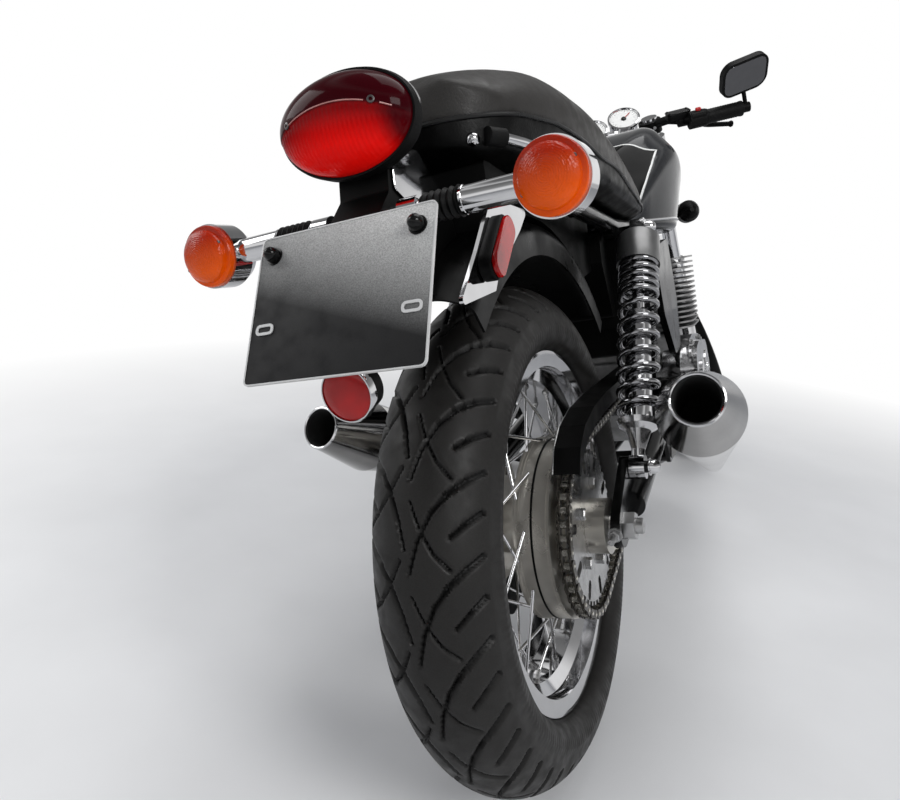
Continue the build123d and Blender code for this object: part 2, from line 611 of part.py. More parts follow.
# Closed tray under the seat, from the tail to the battery box between the frame plates
BOX_X = 110.0
with BuildPart() as undertray:
    add(side_plate(-66, 66, [
        (-135, 768), (-135, 680), (100, 670), (200, 630), (275, 640), (275, 728),
    ], 4))
    add(side_plate(-BOX_X, BOX_X, [
        (340, 490), (508, 490), (508, RAIL_Z - RAIL_R - CLEAR), (320, RAIL_Z - RAIL_R - CLEAR), (320, 540),
    ], 8))
    add(side_plate(-84, 84, [(300, 560), (500, 560), (500, 700), (270, 700), (264, 650)], 8))
    add(rod(FENDER_AXIS - RIGHT * 90, FENDER_AXIS + RIGHT * 90, FENDER_R + CLEAR), mode=Mode.SUBTRACT)
    add(rod((-90, LOOP_Y, LOOP_Z), (90, LOOP_Y, LOOP_Z), RAIL_R - 2 + CLEAR), mode=Mode.SUBTRACT)

# Chrome stays on the fender sides, with a red reflector on each
STAY_IN, STAY_OUT = FENDER_HALF + CLEAR, FENDER_HALF + CLEAR + 4
with BuildPart() as fender_stays:
    for side in (-1, 1):
        low, high = sorted((side * STAY_IN, side * STAY_OUT))
        add(side_plate(low, high, [
            (-172, 724), (-66, 716), (-98, 694), (-181, 650), (-195, 635), (-284, 627), (-227, 674),
        ], 4))

REFLECTOR_BACK = Vector(0, -346, 573)
reflector_run = Vector(0, -1, -0.12).normalized()
with BuildPart() as side_reflectors:
    for side in (-1, 1):
        base = STAY_OUT if side > 0 else -STAY_OUT - 18
        with BuildSketch(Plane(origin=(base, -200, 675), x_dir=(0, -0.76, -0.65), z_dir=(1, 0, 0))):
            SlotOverall(80, 30)
        extrude(amount=18)
    add(rod(REFLECTOR_BACK + reflector_run * CLEAR, REFLECTOR_BACK + reflector_run * 10, 25))

# Number plate, blank, in its own plane
plate_down = Vector(0, -sin(radians(PLATE_TILT)), -cos(radians(PLATE_TILT)))
plate_out = plate_down.cross(RIGHT)
plate_plane = Plane(origin=PLATE_CENTRE, x_dir=(1, 0, 0), z_dir=plate_out)
with BuildPart() as number_plate:
    with BuildSketch(plate_plane):
        RectangleRounded(PLATE_SIZE[0], PLATE_SIZE[1], 6)
        with Locations(*[(x, y) for x in (-73, 73) for y in (50, -20)]):
            Circle(3.5, mode=Mode.SUBTRACT)
    extrude(amount=1.5)

# Tail lamp bracket on the fender, with the lamp's back shell and the backing of the plate
PLATE_BACK = 4.0
lamp_plane = Plane(origin=(0, LAMP_Y, LAMP_Z), x_dir=(1, 0, 0), z_dir=(0, -1, 0))
with BuildPart() as lamp_bracket:
    add(side_plate(-26, 26, [
        (-138, 690), (-146, 722), (-206, LAMP_Z - 18), (-262, LAMP_Z - 24), (-270, 736),
        (-298, 712), (-304, 690), (-302, 650), (-262, 636),
    ], 6))
    with BuildSketch(lamp_plane):
        Ellipse(LAMP_HALF_WIDTH + 2, LAMP_HALF_HEIGHT + 2)
    extrude(amount=10)
    for level, share in ((0, 1.0), (-36, 0.6)):
        with BuildSketch(lamp_plane.offset(level)):
            Ellipse(share * (LAMP_HALF_WIDTH + 2), share * (LAMP_HALF_HEIGHT + 2))
    loft()
    with BuildSketch(plate_plane.offset(-PLATE_BACK)):
        with Locations((0, 6)):
            RectangleRounded(160, 110, 8)
    extrude(amount=PLATE_BACK)
    for x in (-16, 16):
        base = Vector(*PLATE_CENTRE) + RIGHT * x - plate_down * 12 - plate_out * 2
        add(rod(base, base - plate_out * 40, 8))
    add(rod((0, -298, 652), (0, -335, 576), 6))
    add(rod(REFLECTOR_BACK - reflector_run * 16, REFLECTOR_BACK, 22))
    add(rod(FENDER_AXIS - RIGHT * 90, FENDER_AXIS + RIGHT * 90, FENDER_R + CLEAR), mode=Mode.SUBTRACT)
    add(rod((-40, BAR_Y, BAR_Z), (40, BAR_Y, BAR_Z), 8 + CLEAR), mode=Mode.SUBTRACT)

with BuildPart() as tail_lamp_lens:
    with BuildSketch(lamp_plane.offset(10)):
        Ellipse(LAMP_HALF_WIDTH, LAMP_HALF_HEIGHT)
    extrude(amount=34)
    fillet(tail_lamp_lens.faces().sort_by(Axis.Y)[0].edges(), radius=24)

# Rear indicators: the bar, its collars and the bullet bodies, and the lenses
def bullet(centre, direction):
    """The bullet body of an indicator, from its open face."""
    rim_r = INDICATOR_R + 1.5
    return turned(centre, direction, [(0, 0), (0, rim_r), (24, rim_r), (38, 24), (48, 14), (53, 6), (53, 0)])


with BuildPart() as indicator_bar:
    add(rod((-INDICATOR_X + 16, BAR_Y, BAR_Z), (INDICATOR_X - 16, BAR_Y, BAR_Z), 8))
    for side in (-1, 1):
        for x, half, radius in ((46, 9, 13), (76, 18, 11)):
            add(rod((side * x - half, BAR_Y, BAR_Z), (side * x + half, BAR_Y, BAR_Z), radius))
        add(bullet((side * INDICATOR_X, BAR_Y - INDICATOR_BACK, BAR_Z), (0, 1, 0)))


def indicator_lens(centre, direction):
    """A domed lens on the open side of a bullet body."""
    return turned(centre, direction, [
        (0, 0), (0, INDICATOR_R), (6, INDICATOR_R), (14, INDICATOR_R - 4), (19, INDICATOR_R - 14), (21, 0),
    ])


with BuildPart() as rear_indicator_lenses:
    for side in (-1, 1):
        add(indicator_lens((side * INDICATOR_X, BAR_Y - INDICATOR_BACK, BAR_Z), (0, -1, 0)))

# Footrests, brake and gear pedals on their hangers
with BuildPart() as footrests:
    for side in (-1, 1):
        low, high = sorted((side * 149, side * 157))
        add(hull_plate(low, high, [(PIVOT_Y, PIVOT_Z, 20), (470, 382, 13), (590, 352, 12)]))
        add(rod((side * 155, 470, 382), (side * 240, 470, 382), 12))
        add(rod((side * (PIVOT_END + CLEAR), PIVOT_Y, PIVOT_Z), (side * 150, PIVOT_Y, PIVOT_Z), 14))
        add(rod((side * 155, 590, 352), (side * 176, 590, 352), 10))
        add(rod((side * 170, 590, 352), (side * 178, 700, 366), 6))
        add(rod((side * 170, 700, 366), (side * 215, 700, 366), 9))

# Side stand: a leg on a knuckle, and a foot that lies flat on the floor
STAND_FOLDED = Vector(-0.12, -0.99, 0).normalized()
foot_floor = Vector(STAND_FOOT[0], STAND_FOOT[1], floor_height(*STAND_FOOT))
ankle = foot_floor + FLOOR_UP * FOOT_THICK
leg_run = (ankle - STAND_PIVOT).normalized()
stand_axis = leg_run.cross(STAND_FOLDED).normalized()
STAND_RANGE = leg_run.get_angle(STAND_FOLDED)
with BuildPart() as side_stand:
    add(rod(STAND_PIVOT, ankle + FLOOR_UP * 4, STAND_R))
    with BuildSketch(Plane(origin=foot_floor, x_dir=leg_run.cross(FLOOR_UP), z_dir=FLOOR_UP)):
        SlotOverall(70, 40)
    extrude(amount=FOOT_THICK)
    add(rod(STAND_PIVOT - stand_axis * KNUCKLE, STAND_PIVOT + stand_axis * KNUCKLE, 15))
    add(rod(STAND_PIVOT - stand_axis * 20, STAND_PIVOT + stand_axis * 20, PIN_R + CLEAR), mode=Mode.SUBTRACT)

cradle_point = Vector(-CRADLE_X, STAND_PIVOT.Y, CRADLE_Z)
bracket_run = cradle_point - STAND_PIVOT
bracket_run = (bracket_run - stand_axis * bracket_run.dot(stand_axis)).normalized()
with frame:
    for level in (KNUCKLE + CLEAR, -KNUCKLE - CLEAR - EAR):
        with BuildSketch(Plane(origin=STAND_PIVOT + stand_axis * level, x_dir=bracket_run, z_dir=stand_axis)):
            Circle(14)
            with Locations((30, 0)):
                Circle(12)
            make_hull()
        extrude(amount=EAR)
    web = STAND_PIVOT + bracket_run * 30
    add(rod(web - stand_axis * (KNUCKLE + EAR - 1), web + stand_axis * (KNUCKLE + EAR - 1), 9))
    add(rod(STAND_PIVOT - stand_axis * (KNUCKLE + EAR), STAND_PIVOT + stand_axis * (KNUCKLE + EAR), PIN_R))

# Steering group, straight ahead in its own frame: yokes with the stem, fork tubes, sliders and axle
with BuildPart() as yokes:
    for level, thick in ((LOWER_YOKE, YOKE_THICK), (UPPER_YOKE, YOKE_THICK - 4)):
        with BuildSketch(Plane.XY.offset(level)):
            with Locations((FORK_X, FRONT_OFFSET), (-FORK_X, FRONT_OFFSET)):
                Circle(FORK_TUBE_R + 12)
            with Locations((0, 8)):
                Circle(30)
            make_hull()
            with Locations((FORK_X, FRONT_OFFSET), (-FORK_X, FRONT_OFFSET)):
                Circle(FORK_TUBE_R + CLEAR, mode=Mode.SUBTRACT)
        extrude(amount=thick)
    add(rod((0, 0, LOWER_YOKE), (0, 0, UPPER_YOKE + YOKE_THICK + 8), STEM_R))
    add(rod((0, 0, LOWER_YOKE + YOKE_THICK), (0, 0, HEAD_LOW - CLEAR), HEAD_R - 4))
    add(rod((0, 0, HEAD_HIGH + CLEAR), (0, 0, UPPER_YOKE), HEAD_R - 4))

FORK_TOP = 1088.0
with BuildPart() as fork_tubes:
    for side in (-1, 1):
        add(rod((side * FORK_X, FRONT_OFFSET, SLIDER_TOP + CLEAR), (side * FORK_X, FRONT_OFFSET, FORK_TOP), FORK_TUBE_R))

with BuildPart() as fork_sliders:
    for side in (-1, 1):
        add(turned((side * FORK_X, FRONT_OFFSET, 0), (0, 0, 1), [
            (FRONT_ALONG - 30, 0), (FRONT_ALONG - 30, 20), (FRONT_ALONG - 18, SLIDER_R - 2),
            (FRONT_ALONG + 60, SLIDER_R - 2), (FRONT_ALONG + 80, SLIDER_R), (SLIDER_TOP - 12, SLIDER_R),
            (SLIDER_TOP - 10, SLIDER_R + 3), (SLIDER_TOP, SLIDER_R + 3), (SLIDER_TOP, 0),
        ]))
    add(rod(FRONT_AXLE - RIGHT * 128, FRONT_AXLE + RIGHT * 128, FRONT_AXLE_R))

# Front wheel
FRONT_LIP_R = FRONT_BEAD_R + 14
with BuildPart() as front_tyre:
    add(tyre(FRONT_AXLE, FRONT_R, FRONT_CROWN, FRONT_SHOULDER, FRONT_BEAD_R, FRONT_BEAD_X, FRONT_LIP_R))

FRONT_FLANGE_R = 44.0
with BuildPart() as front_hub:
    add(turned(FRONT_AXLE, RIGHT, [
        (FRONT_DISC_X, FRONT_AXLE_R + 0.5), (FRONT_DISC_X, 46), (-46, 46), (-42, FRONT_FLANGE_R),
        (-28, FRONT_FLANGE_R), (-24, 26), (24, 26), (28, FRONT_FLANGE_R), (42, FRONT_FLANGE_R), (46, 30),
        (62, 20), (62, FRONT_AXLE_R + 0.5),
    ]))
    with BuildSketch(Plane.YZ.offset(FRONT_DISC_X - DISC_THICK)):
        with Locations((FRONT_AXLE.Y, FRONT_AXLE.Z)):
            Circle(FRONT_DISC_R)
            Circle(30, mode=Mode.SUBTRACT)
            with PolarLocations(84, 5):
                Circle(22, mode=Mode.SUBTRACT)
    extrude(amount=DISC_THICK)

FRONT_SPOKE_ROWS = [
    (40.0, FRONT_FLANGE_R, 11.0, 62.0, 0.0), (30.0, FRONT_FLANGE_R, 4.0, -62.0, 20.0),
    (-40.0, FRONT_FLANGE_R, -11.0, 62.0, 10.0), (-30.0, FRONT_FLANGE_R, -4.0, -62.0, 30.0),
]
with BuildPart() as front_rim:
    add(turned(FRONT_AXLE, RIGHT, rim_profile(FRONT_BEAD_R, FRONT_BEAD_X, FRONT_WELL_R, FRONT_LIP_R)))
    add(spokes(FRONT_AXLE, 36, FRONT_SPOKE_ROWS, (FRONT_FLANGE_R, FRONT_FLANGE_R), FRONT_WELL_R, SPOKE_R))

CALLIPER_Y, CALLIPER_Z = FRONT_AXLE.Y - 112, FRONT_AXLE.Z + 74
with BuildPart() as front_calliper:
    add(hull_plate(-92, -44, [(CALLIPER_Y, CALLIPER_Z + 24, 26), (CALLIPER_Y - 6, CALLIPER_Z - 22, 26)]))
    add(hull_plate(FRONT_DISC_X - DISC_THICK - 5, FRONT_DISC_X + 5,
                   [(FRONT_AXLE.Y, FRONT_AXLE.Z, FRONT_DISC_R + 5)]), mode=Mode.SUBTRACT)
    add(hull_plate(-92, -82, [(CALLIPER_Y, CALLIPER_Z + 24, 20), (FRONT_AXLE.Y - 20, CALLIPER_Z + 40, 14)]))
    add(rod((-FORK_X, FRONT_AXLE.Y, 300), (-FORK_X, FRONT_AXLE.Y, 600), SLIDER_R + CLEAR), mode=Mode.SUBTRACT)

FRONT_FENDER_R = FRONT_R + 22
with BuildPart() as front_fender:
    with BuildSketch(Plane(origin=FRONT_AXLE, x_dir=(1, 0, 0), z_dir=(0, -1, 0)).rotated((-52, 0, 0))):
        with BuildLine():
            fender_section(60, FRONT_FENDER_R, 36, 13, 26)
        make_face()
    revolve(axis=Axis(FRONT_AXLE, (1, 0, 0)), revolution_arc=142)
    for side in (-1, 1):
        low, high = sorted((side * (60 - SHEET), side * (FORK_X - SLIDER_R - CLEAR)))
        level = FRONT_AXLE.Z + FRONT_FENDER_R - 31
        add(hull_plate(low, high, [(FRONT_AXLE.Y - 10, level, 8), (FRONT_AXLE.Y + 10, level, 8)]))

# Headlamp on its ears, with the front indicators below them, and its glass
LAMP_AHEAD, LAMP_ALONG, LAMP_R = 158.0, 906.0, 88.0
INDICATOR_AHEAD, INDICATOR_ALONG = FRONT_OFFSET + 44, 770.0
level_ahead = Vector(0, cos(radians(RAKE)), -sin(radians(RAKE)))
lamp_centre = Vector(0, LAMP_AHEAD, LAMP_ALONG)
with BuildPart() as headlamp:
    add(turned(lamp_centre, level_ahead, [
        (-92, 0), (-92, 26), (-82, 52), (-58, 76), (-20, LAMP_R - 2), (0, LAMP_R), (14, LAMP_R), (18, LAMP_R - 6),
        (18, LAMP_R - 10), (8, LAMP_R - 10), (8, 0),
    ]))
    for side in (-1, 1):
        low, high = sorted((side * 117, side * 120))
        add(hull_plate(low, high, [(FRONT_OFFSET, 870, 14), (FRONT_OFFSET, 950, 14), (LAMP_AHEAD - 8, LAMP_ALONG, 18)]))
        add(rod((side * (LAMP_R - 8), LAMP_AHEAD - 6, LAMP_ALONG), (side * 120, LAMP_AHEAD - 6, LAMP_ALONG), 8))
        for level in (870, 950):
            add(rod((side * FORK_X, FRONT_OFFSET, level - 9), (side * FORK_X, FRONT_OFFSET, level + 9), 25))
        add(rod((side * FORK_X, FRONT_OFFSET, 840), (side * FORK_X, FRONT_OFFSET, 980), FORK_TUBE_R + CLEAR),
            mode=Mode.SUBTRACT)
        add(hull_plate(low, high, [(INDICATOR_AHEAD, INDICATOR_ALONG, 11), (LAMP_AHEAD - 8, LAMP_ALONG, 18)]))
        add(rod((side * 118, INDICATOR_AHEAD, INDICATOR_ALONG), (side * 160, INDICATOR_AHEAD, INDICATOR_ALONG), 7))
        socket = Vector(side * INDICATOR_X, INDICATOR_AHEAD, INDICATOR_ALONG) + level_ahead * INDICATOR_BACK
        add(bullet(socket, -level_ahead))

with BuildPart() as headlamp_glass:
    add(turned(lamp_centre, level_ahead, [
        (8 + CLEAR, 0), (8 + CLEAR, LAMP_R - 11), (18, LAMP_R - 11), (26, 60), (31, 30), (32, 0),
    ]))

with BuildPart() as front_indicator_lenses:
    for side in (-1, 1):
        socket = Vector(side * INDICATOR_X, INDICATOR_AHEAD, INDICATOR_ALONG) + level_ahead * INDICATOR_BACK
        add(indicator_lens(socket, level_ahead))

# Two gauges on a bracket that stands on the upper yoke
GAUGE_X, GAUGE_AHEAD, GAUGE_ALONG, GAUGE_R = 46.0, 112.0, 1092.0, 41.0
gauge_face = Vector(0, -0.42, 0.91).normalized()
with BuildPart() as gauges:
    add(rod((-70, 80, UPPER_YOKE + YOKE_THICK + 1.5), (70, 80, UPPER_YOKE + YOKE_THICK + 1.5), 5))
    for side in (-1, 1):
        centre = Vector(side * GAUGE_X, GAUGE_AHEAD, GAUGE_ALONG)
        add(turned(centre, gauge_face, [
            (-44, 0), (-44, 30), (-34, GAUGE_R - 3), (-4, GAUGE_R - 1), (0, GAUGE_R + 2), (6, GAUGE_R + 2),
            (8, GAUGE_R - 2), (3, GAUGE_R - 4), (3, 0),
        ]))
        add(rod((side * GAUGE_X, 80, UPPER_YOKE + YOKE_THICK + 1.5), centre - gauge_face * 36, 5))

# Handlebars clamped on the fork tubes above the upper yoke; grips, controls, levers and mirrors
BAR_TUBE_R = 11.0
SWITCH_R = 21.0
BAR_POINTS = [(FORK_X, FRONT_OFFSET, 1066), (122, 0, 1082), (156, -67, 1079), (272, -80, 1065)]
with BuildPart() as handlebars:
    for side in (-1, 1):
        points = [Vector(side * x, y, z) for x, y, z in BAR_POINTS]
        add(bent_rod(points, [40, 40], BAR_TUBE_R))
        add(rod((side * FORK_X, FRONT_OFFSET, 1048), (side * FORK_X, FRONT_OFFSET, 1080), 29))
        add(rod((side * FORK_X, FRONT_OFFSET, 1000), (side * FORK_X, FRONT_OFFSET, 1100), FORK_TUBE_R + CLEAR),
            mode=Mode.SUBTRACT)

with BuildPart() as grips:
    for side in (-1, 1):
        inner, outer = [Vector(side * x, y, z) for x, y, z in BAR_POINTS[2:]]
        run = (outer - inner).normalized()
        add(rod(inner + run * 32, outer + run * 6, 16.5))
        add(rod(inner - run * 8, inner + run * 32, SWITCH_R))
        points = [Vector(side * x, y, z) for x, y, z in BAR_POINTS]
        add(bent_rod(points[:3] + [outer + run * CLEAR], [40, 40], BAR_TUBE_R + CLEAR), mode=Mode.SUBTRACT)

with BuildPart() as levers:
    for side in (-1, 1):
        inner, outer = [Vector(side * x, y, z) for x, y, z in BAR_POINTS[2:]]
        add(bent_rod([
            inner + Vector(side * 8, 32, -10), inner + Vector(side * 16, 46, -18), inner + Vector(side * 56, 48, -42),
            inner + Vector(side * 112, 32, -58),
        ], [6, 40], 6))
        run = (outer - inner).normalized()
        ahead = Vector(0, 26, -8)
        ahead = (ahead - run * ahead.dot(run)).normalized()
        add(rod(inner + run * 12 + ahead * (SWITCH_R + CLEAR), inner + run * 12 + ahead * 40, 8))

with BuildPart() as mirrors:
    for side in (-1, 1):
        inner, outer = [Vector(side * x, y, z) for x, y, z in BAR_POINTS[2:]]
        run = (outer - inner).normalized()
        tip = outer + run * 16
        add(rod(outer + run * (6 + CLEAR), outer + run * 24, 12))
        add(rod(tip, tip + Vector(0, 5, 48), 5))
        with BuildSketch(Plane(origin=tip + Vector(0, -12, 76), x_dir=(1, 0, 0), z_dir=(0, 0.94, 0.34))):
            RectangleRounded(116, 86, 28)
        extrude(amount=16)

# Everything in place: the machine leaned over, the steering group also turned to its stop
UPRIGHT = {
    "frame": frame, "swingarm": swingarm, "rear_axle": rear_axle, "chain": chain, "chain_guard": chain_guard,
    "rear_calliper": rear_calliper, "shocks": shocks, "shock_springs": shock_springs,
    "engine_cases": engine_cases, "engine_covers": engine_covers, "cylinders": cylinders,
    "carburettors": carburettors, "exhaust_headers": exhaust_headers, "silencers": silencers,
    "tank": tank, "filler_cap": filler_cap, "seat": seat, "side_covers": side_covers,
    "rear_fender": rear_fender, "undertray": undertray, "fender_stays": fender_stays, "red_reflectors": side_reflectors,
    "lamp_bracket": lamp_bracket, "tail_lamp_lens": tail_lamp_lens,
    "indicator_bar": indicator_bar, "rear_indicator_lenses": rear_indicator_lenses,
    "number_plate": number_plate, "footrests": footrests, "side_stand": side_stand,
    "rear_tyre": rear_tyre, "rear_rim": rear_rim, "rear_hub": rear_hub, "rear_sprocket": rear_sprocket,
}
STEERED = {
    "yokes": yokes, "fork_tubes": fork_tubes, "fork_sliders": fork_sliders,
    "front_calliper": front_calliper, "front_fender": front_fender, "headlamp": headlamp,
    "headlamp_glass": headlamp_glass, "front_indicator_lenses": front_indicator_lenses, "gauges": gauges,
    "handlebars": handlebars, "grips": grips, "levers": levers, "mirrors": mirrors,
    "front_tyre": front_tyre, "front_rim": front_rim, "front_hub": front_hub,
}
placed = {name: POSTURE * piece.part for name, piece in UPRIGHT.items()}
placed |= {name: POSTURE * STEER * piece.part for name, piece in STEERED.items()}
boxes = [piece.bounding_box() for piece in placed.values()]
MIDDLE_X = (min(box.min.X for box in boxes) + max(box.max.X for box in boxes)) / 2
MIDDLE_Y = (min(box.min.Y for box in boxes) + max(box.max.Y for box in boxes)) / 2
CENTRED = Pos(-MIDDLE_X, -MIDDLE_Y, 0)

os.makedirs("parts", exist_ok=True)
for name, piece in placed.items():
    standing = CENTRED * piece
    standing.label = name
    export_step(standing, f"parts/{name}.step")

# The joints and mounting places as they stand, in metres
PLACES = {
    "rear_wheel_spin": (CENTRED * POSTURE, REAR_AXLE, RIGHT),
    "steering": (CENTRED * POSTURE * STEER, Vector(0, 0, FRONT_ALONG), Vector(0, 0, 1)),
    "front_wheel_spin": (CENTRED * POSTURE * STEER, FRONT_AXLE, RIGHT),
    "side_stand_fold": (CENTRED * POSTURE, STAND_PIVOT, stand_axis),
    "stand_foot": (CENTRED * POSTURE, foot_floor, -FLOOR_UP),
    "axle_right": (CENTRED * POSTURE, Vector(AXLE_END, 0, REAR_R), RIGHT),
    "axle_left": (CENTRED * POSTURE, Vector(-AXLE_END, 0, REAR_R), -RIGHT),
}
for name, (location, point, direction) in PLACES.items():
    place = spot(location, point) / 1000
    axis = way(location, direction)
    print(f"{name}: pos {place.X:.6f} {place.Y:.6f} {place.Z:.6f} axis {axis.X:.6f} {axis.Y:.6f} {axis.Z:.6f}")
print(f"side stand range {STAND_RANGE:.2f}, size "
      f"{max(b.max.X for b in boxes) - min(b.min.X for b in boxes):.1f} x "
      f"{max(b.max.Y for b in boxes) - min(b.min.Y for b in boxes):.1f} x {max(b.max.Z for b in boxes):.1f}")
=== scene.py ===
import json
import math

import bmesh
import bpy
from mathutils import Matrix, Vector
from mathutils.bvhtree import BVHTree


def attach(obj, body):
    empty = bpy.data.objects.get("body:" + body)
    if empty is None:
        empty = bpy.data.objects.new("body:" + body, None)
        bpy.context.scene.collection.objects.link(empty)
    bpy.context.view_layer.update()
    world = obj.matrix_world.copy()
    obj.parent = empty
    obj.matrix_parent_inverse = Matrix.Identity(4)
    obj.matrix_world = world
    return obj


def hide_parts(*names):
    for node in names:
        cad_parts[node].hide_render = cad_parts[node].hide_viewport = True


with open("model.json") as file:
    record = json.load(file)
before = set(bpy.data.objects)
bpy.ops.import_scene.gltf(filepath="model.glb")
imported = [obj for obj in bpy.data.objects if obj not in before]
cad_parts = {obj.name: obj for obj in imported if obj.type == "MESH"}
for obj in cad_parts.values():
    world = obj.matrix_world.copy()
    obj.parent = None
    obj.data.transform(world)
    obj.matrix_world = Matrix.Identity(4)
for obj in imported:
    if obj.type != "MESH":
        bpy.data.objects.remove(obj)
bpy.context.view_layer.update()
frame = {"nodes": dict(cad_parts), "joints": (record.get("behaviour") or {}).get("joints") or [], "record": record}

NODES = frame["nodes"]
JOINTS = {joint["name"]: joint for joint in frame["joints"]}

# The upright machine and the steering group have frames of their own, found from the joints:
# X to the right, Y forwards and Z up, and Z along the steering axis for the steering group.
RAKE = math.radians(27)
AXLE_HEIGHT = 0.320
FORK_OFFSET, FORK_ALONG = 0.058396, 0.328267
SIDE = Vector(JOINTS["rear_wheel_spin"]["axis"]).normalized()
STEM = Vector(JOINTS["steering"]["axis"]).normalized()


def frame_matrix(x_axis, z_axis, origin):
    """A matrix from a frame's axes and the place of its origin."""
    y_axis = z_axis.cross(x_axis)
    matrix = Matrix((x_axis, y_axis, z_axis)).transposed().to_4x4()
    matrix.translation = origin
    return matrix


across = SIDE.cross(STEM)
UP = STEM * math.cos(RAKE) - across * math.sin(RAKE)
BIKE = frame_matrix(SIDE, UP, Vector(JOINTS["rear_wheel_spin"]["pos_m"]) - UP * AXLE_HEIGHT)
FORK_SIDE = Vector(JOINTS["front_wheel_spin"]["axis"]).normalized()
FORK = frame_matrix(FORK_SIDE, STEM, Vector((0, 0, 0)))
fork_reach = FORK.to_3x3() @ Vector((0, FORK_OFFSET, FORK_ALONG))
FORK.translation = Vector(JOINTS["front_wheel_spin"]["pos_m"]) - fork_reach


# Materials
def node_tree(name):
    """A new material with its shader, and its node tree."""
    material = bpy.data.materials.new(name)
    material.use_nodes = True
    tree = material.node_tree
    return material, tree, tree.nodes["Principled BSDF"]


def new_node(tree, kind, *sources, operation=None):
    """A node with its first inputs linked to the sources."""
    node = tree.nodes.new("ShaderNode" + kind)
    if operation:
        node.operation = operation
    for socket, source in zip(node.inputs, sources):
        tree.links.new(source, socket)
    return node


def noise(tree, scale, detail=4.0):
    """Noise over the object's own coordinates."""
    cloud = new_node(tree, "TexNoise", new_node(tree, "TexCoord").outputs["Object"])
    cloud.inputs["Scale"].default_value = scale
    cloud.inputs["Detail"].default_value = detail
    return cloud.outputs["Fac"]


def remap(tree, value, low, high, start=0.3, end=0.7):
    """A value brought from one span to another."""
    node = new_node(tree, "MapRange", value)
    for name, number in (("From Min", start), ("From Max", end), ("To Min", low), ("To Max", high)):
        node.inputs[name].default_value = number
    return node.outputs["Result"]


def mixed(tree, value, first, second):
    """A colour between two, by a value."""
    node = tree.nodes.new("ShaderNodeMix")
    node.data_type = "RGBA"
    node.inputs["A"].default_value = (*first, 1)
    node.inputs["B"].default_value = (*second, 1)
    tree.links.new(value, node.inputs["Factor"])
    return node.outputs["Result"]


def bumped(tree, shader, value, strength, distance):
    """Bump from a value, added under what the shader has."""
    node = tree.nodes.new("ShaderNodeBump")
    node.inputs["Strength"].default_value = strength
    node.inputs["Distance"].default_value = distance
    tree.links.new(value, node.inputs["Height"])
    earlier = shader.inputs["Normal"].links
    if earlier:
        tree.links.new(earlier[0].from_socket, node.inputs["Normal"])
    tree.links.new(node.outputs["Normal"], shader.inputs["Normal"])


def surface(name, colour, roughness, metallic=0.0, vary=0.25, scale=60.0, bump=0.0, coat=0.0, spread=0.12,
            specular=0.5):
    """A painted, moulded or metal surface with uneven colour, uneven gloss and a fine grain."""
    material, tree, shader = node_tree(name)
    shader.inputs["Specular IOR Level"].default_value = specular
    shader.inputs["Metallic"].default_value = metallic
    shader.inputs["Coat Weight"].default_value = coat
    shader.inputs["Coat Roughness"].default_value = 0.05
    cloud = noise(tree, scale)
    dark = [channel * (1 - vary) for channel in colour]
    light = [min(1.0, channel * (1 + vary)) for channel in colour]
    tree.links.new(mixed(tree, remap(tree, cloud, 0, 1), dark, light), shader.inputs["Base Color"])
    low, high = max(0.02, roughness - spread), min(1.0, roughness + spread)
    smudge = noise(tree, scale * 0.35, 6.0)
    tree.links.new(remap(tree, smudge, low, high), shader.inputs["Roughness"])
    if bump:
        bumped(tree, shader, noise(tree, scale * 14, 2.0), bump, 0.0006)
    return material


GLOSS_BLACK = surface("gloss_black", (0.003, 0.003, 0.003), 0.18, coat=0.08, bump=0.02, specular=0.2)
SATIN_BLACK = surface("satin_black", (0.002, 0.002, 0.002), 0.46, bump=0.08, specular=0.09)
FENDER_BLACK = surface("fender_black", (0.0015, 0.0015, 0.0015), 0.34, bump=0.04, specular=0.08)
CHROME = surface("chrome_plate", (0.60, 0.60, 0.61), 0.07, metallic=1.0, vary=0.05, spread=0.04, scale=25)
STEEL = surface("bright_steel", (0.40, 0.40, 0.40), 0.28, metallic=1.0, vary=0.18, bump=0.05)
DARK_STEEL = surface("dark_steel", (0.12, 0.11, 0.11), 0.32, metallic=1.0, vary=0.2, bump=0.05)
CHAIN_STEEL = surface("oiled_steel", (0.055, 0.050, 0.043), 0.30, metallic=0.9, vary=0.5, scale=220,
                      bump=0.15)
PIN_STEEL = surface("pin_steel", (0.52, 0.50, 0.45), 0.24, metallic=1.0, vary=0.35, scale=180)
# Chrome darkened for the silencers, standing in for the dark surroundings they reflect: painted reflection
CHROME_PAINTED_DARK = surface("silencer_chrome_painted_dark", (0.34, 0.335, 0.33), 0.10, metallic=1.0, vary=0.08, spread=0.04,
                      scale=25)
SPRING_CHROME = surface("spring_chrome", (0.30, 0.30, 0.31), 0.10, metallic=1.0, vary=0.08, spread=0.04,
                        scale=25)
CAST_ALLOY = surface("cast_alloy", (0.25, 0.25, 0.25), 0.40, metallic=1.0, vary=0.15, bump=0.12)
POLISHED = surface("polished_alloy", (0.55, 0.55, 0.56), 0.14, metallic=1.0, vary=0.08, bump=0.02)
GREY_CAP = surface("grey_cap", (0.20, 0.20, 0.20), 0.36, metallic=0.85, vary=0.08, bump=0.04)
BRUSHED = surface("hub_alloy", (0.45, 0.43, 0.39), 0.30, metallic=0.92, vary=0.06, spread=0.06, bump=0.03)
TANK = surface("tank_graphite", (0.024, 0.025, 0.027), 0.14, vary=0.10, coat=0.16, specular=0.2)
PANEL = surface("panel_black", (0.003, 0.003, 0.003), 0.14, coat=0.03, specular=0.08)
GRIP = surface("grip_rubber", (0.004, 0.004, 0.004), 0.55, bump=0.3, specular=0.12)
PIPING_BLACK = surface("piping_vinyl", (0.010, 0.010, 0.010), 0.30, bump=0.1, specular=0.3)
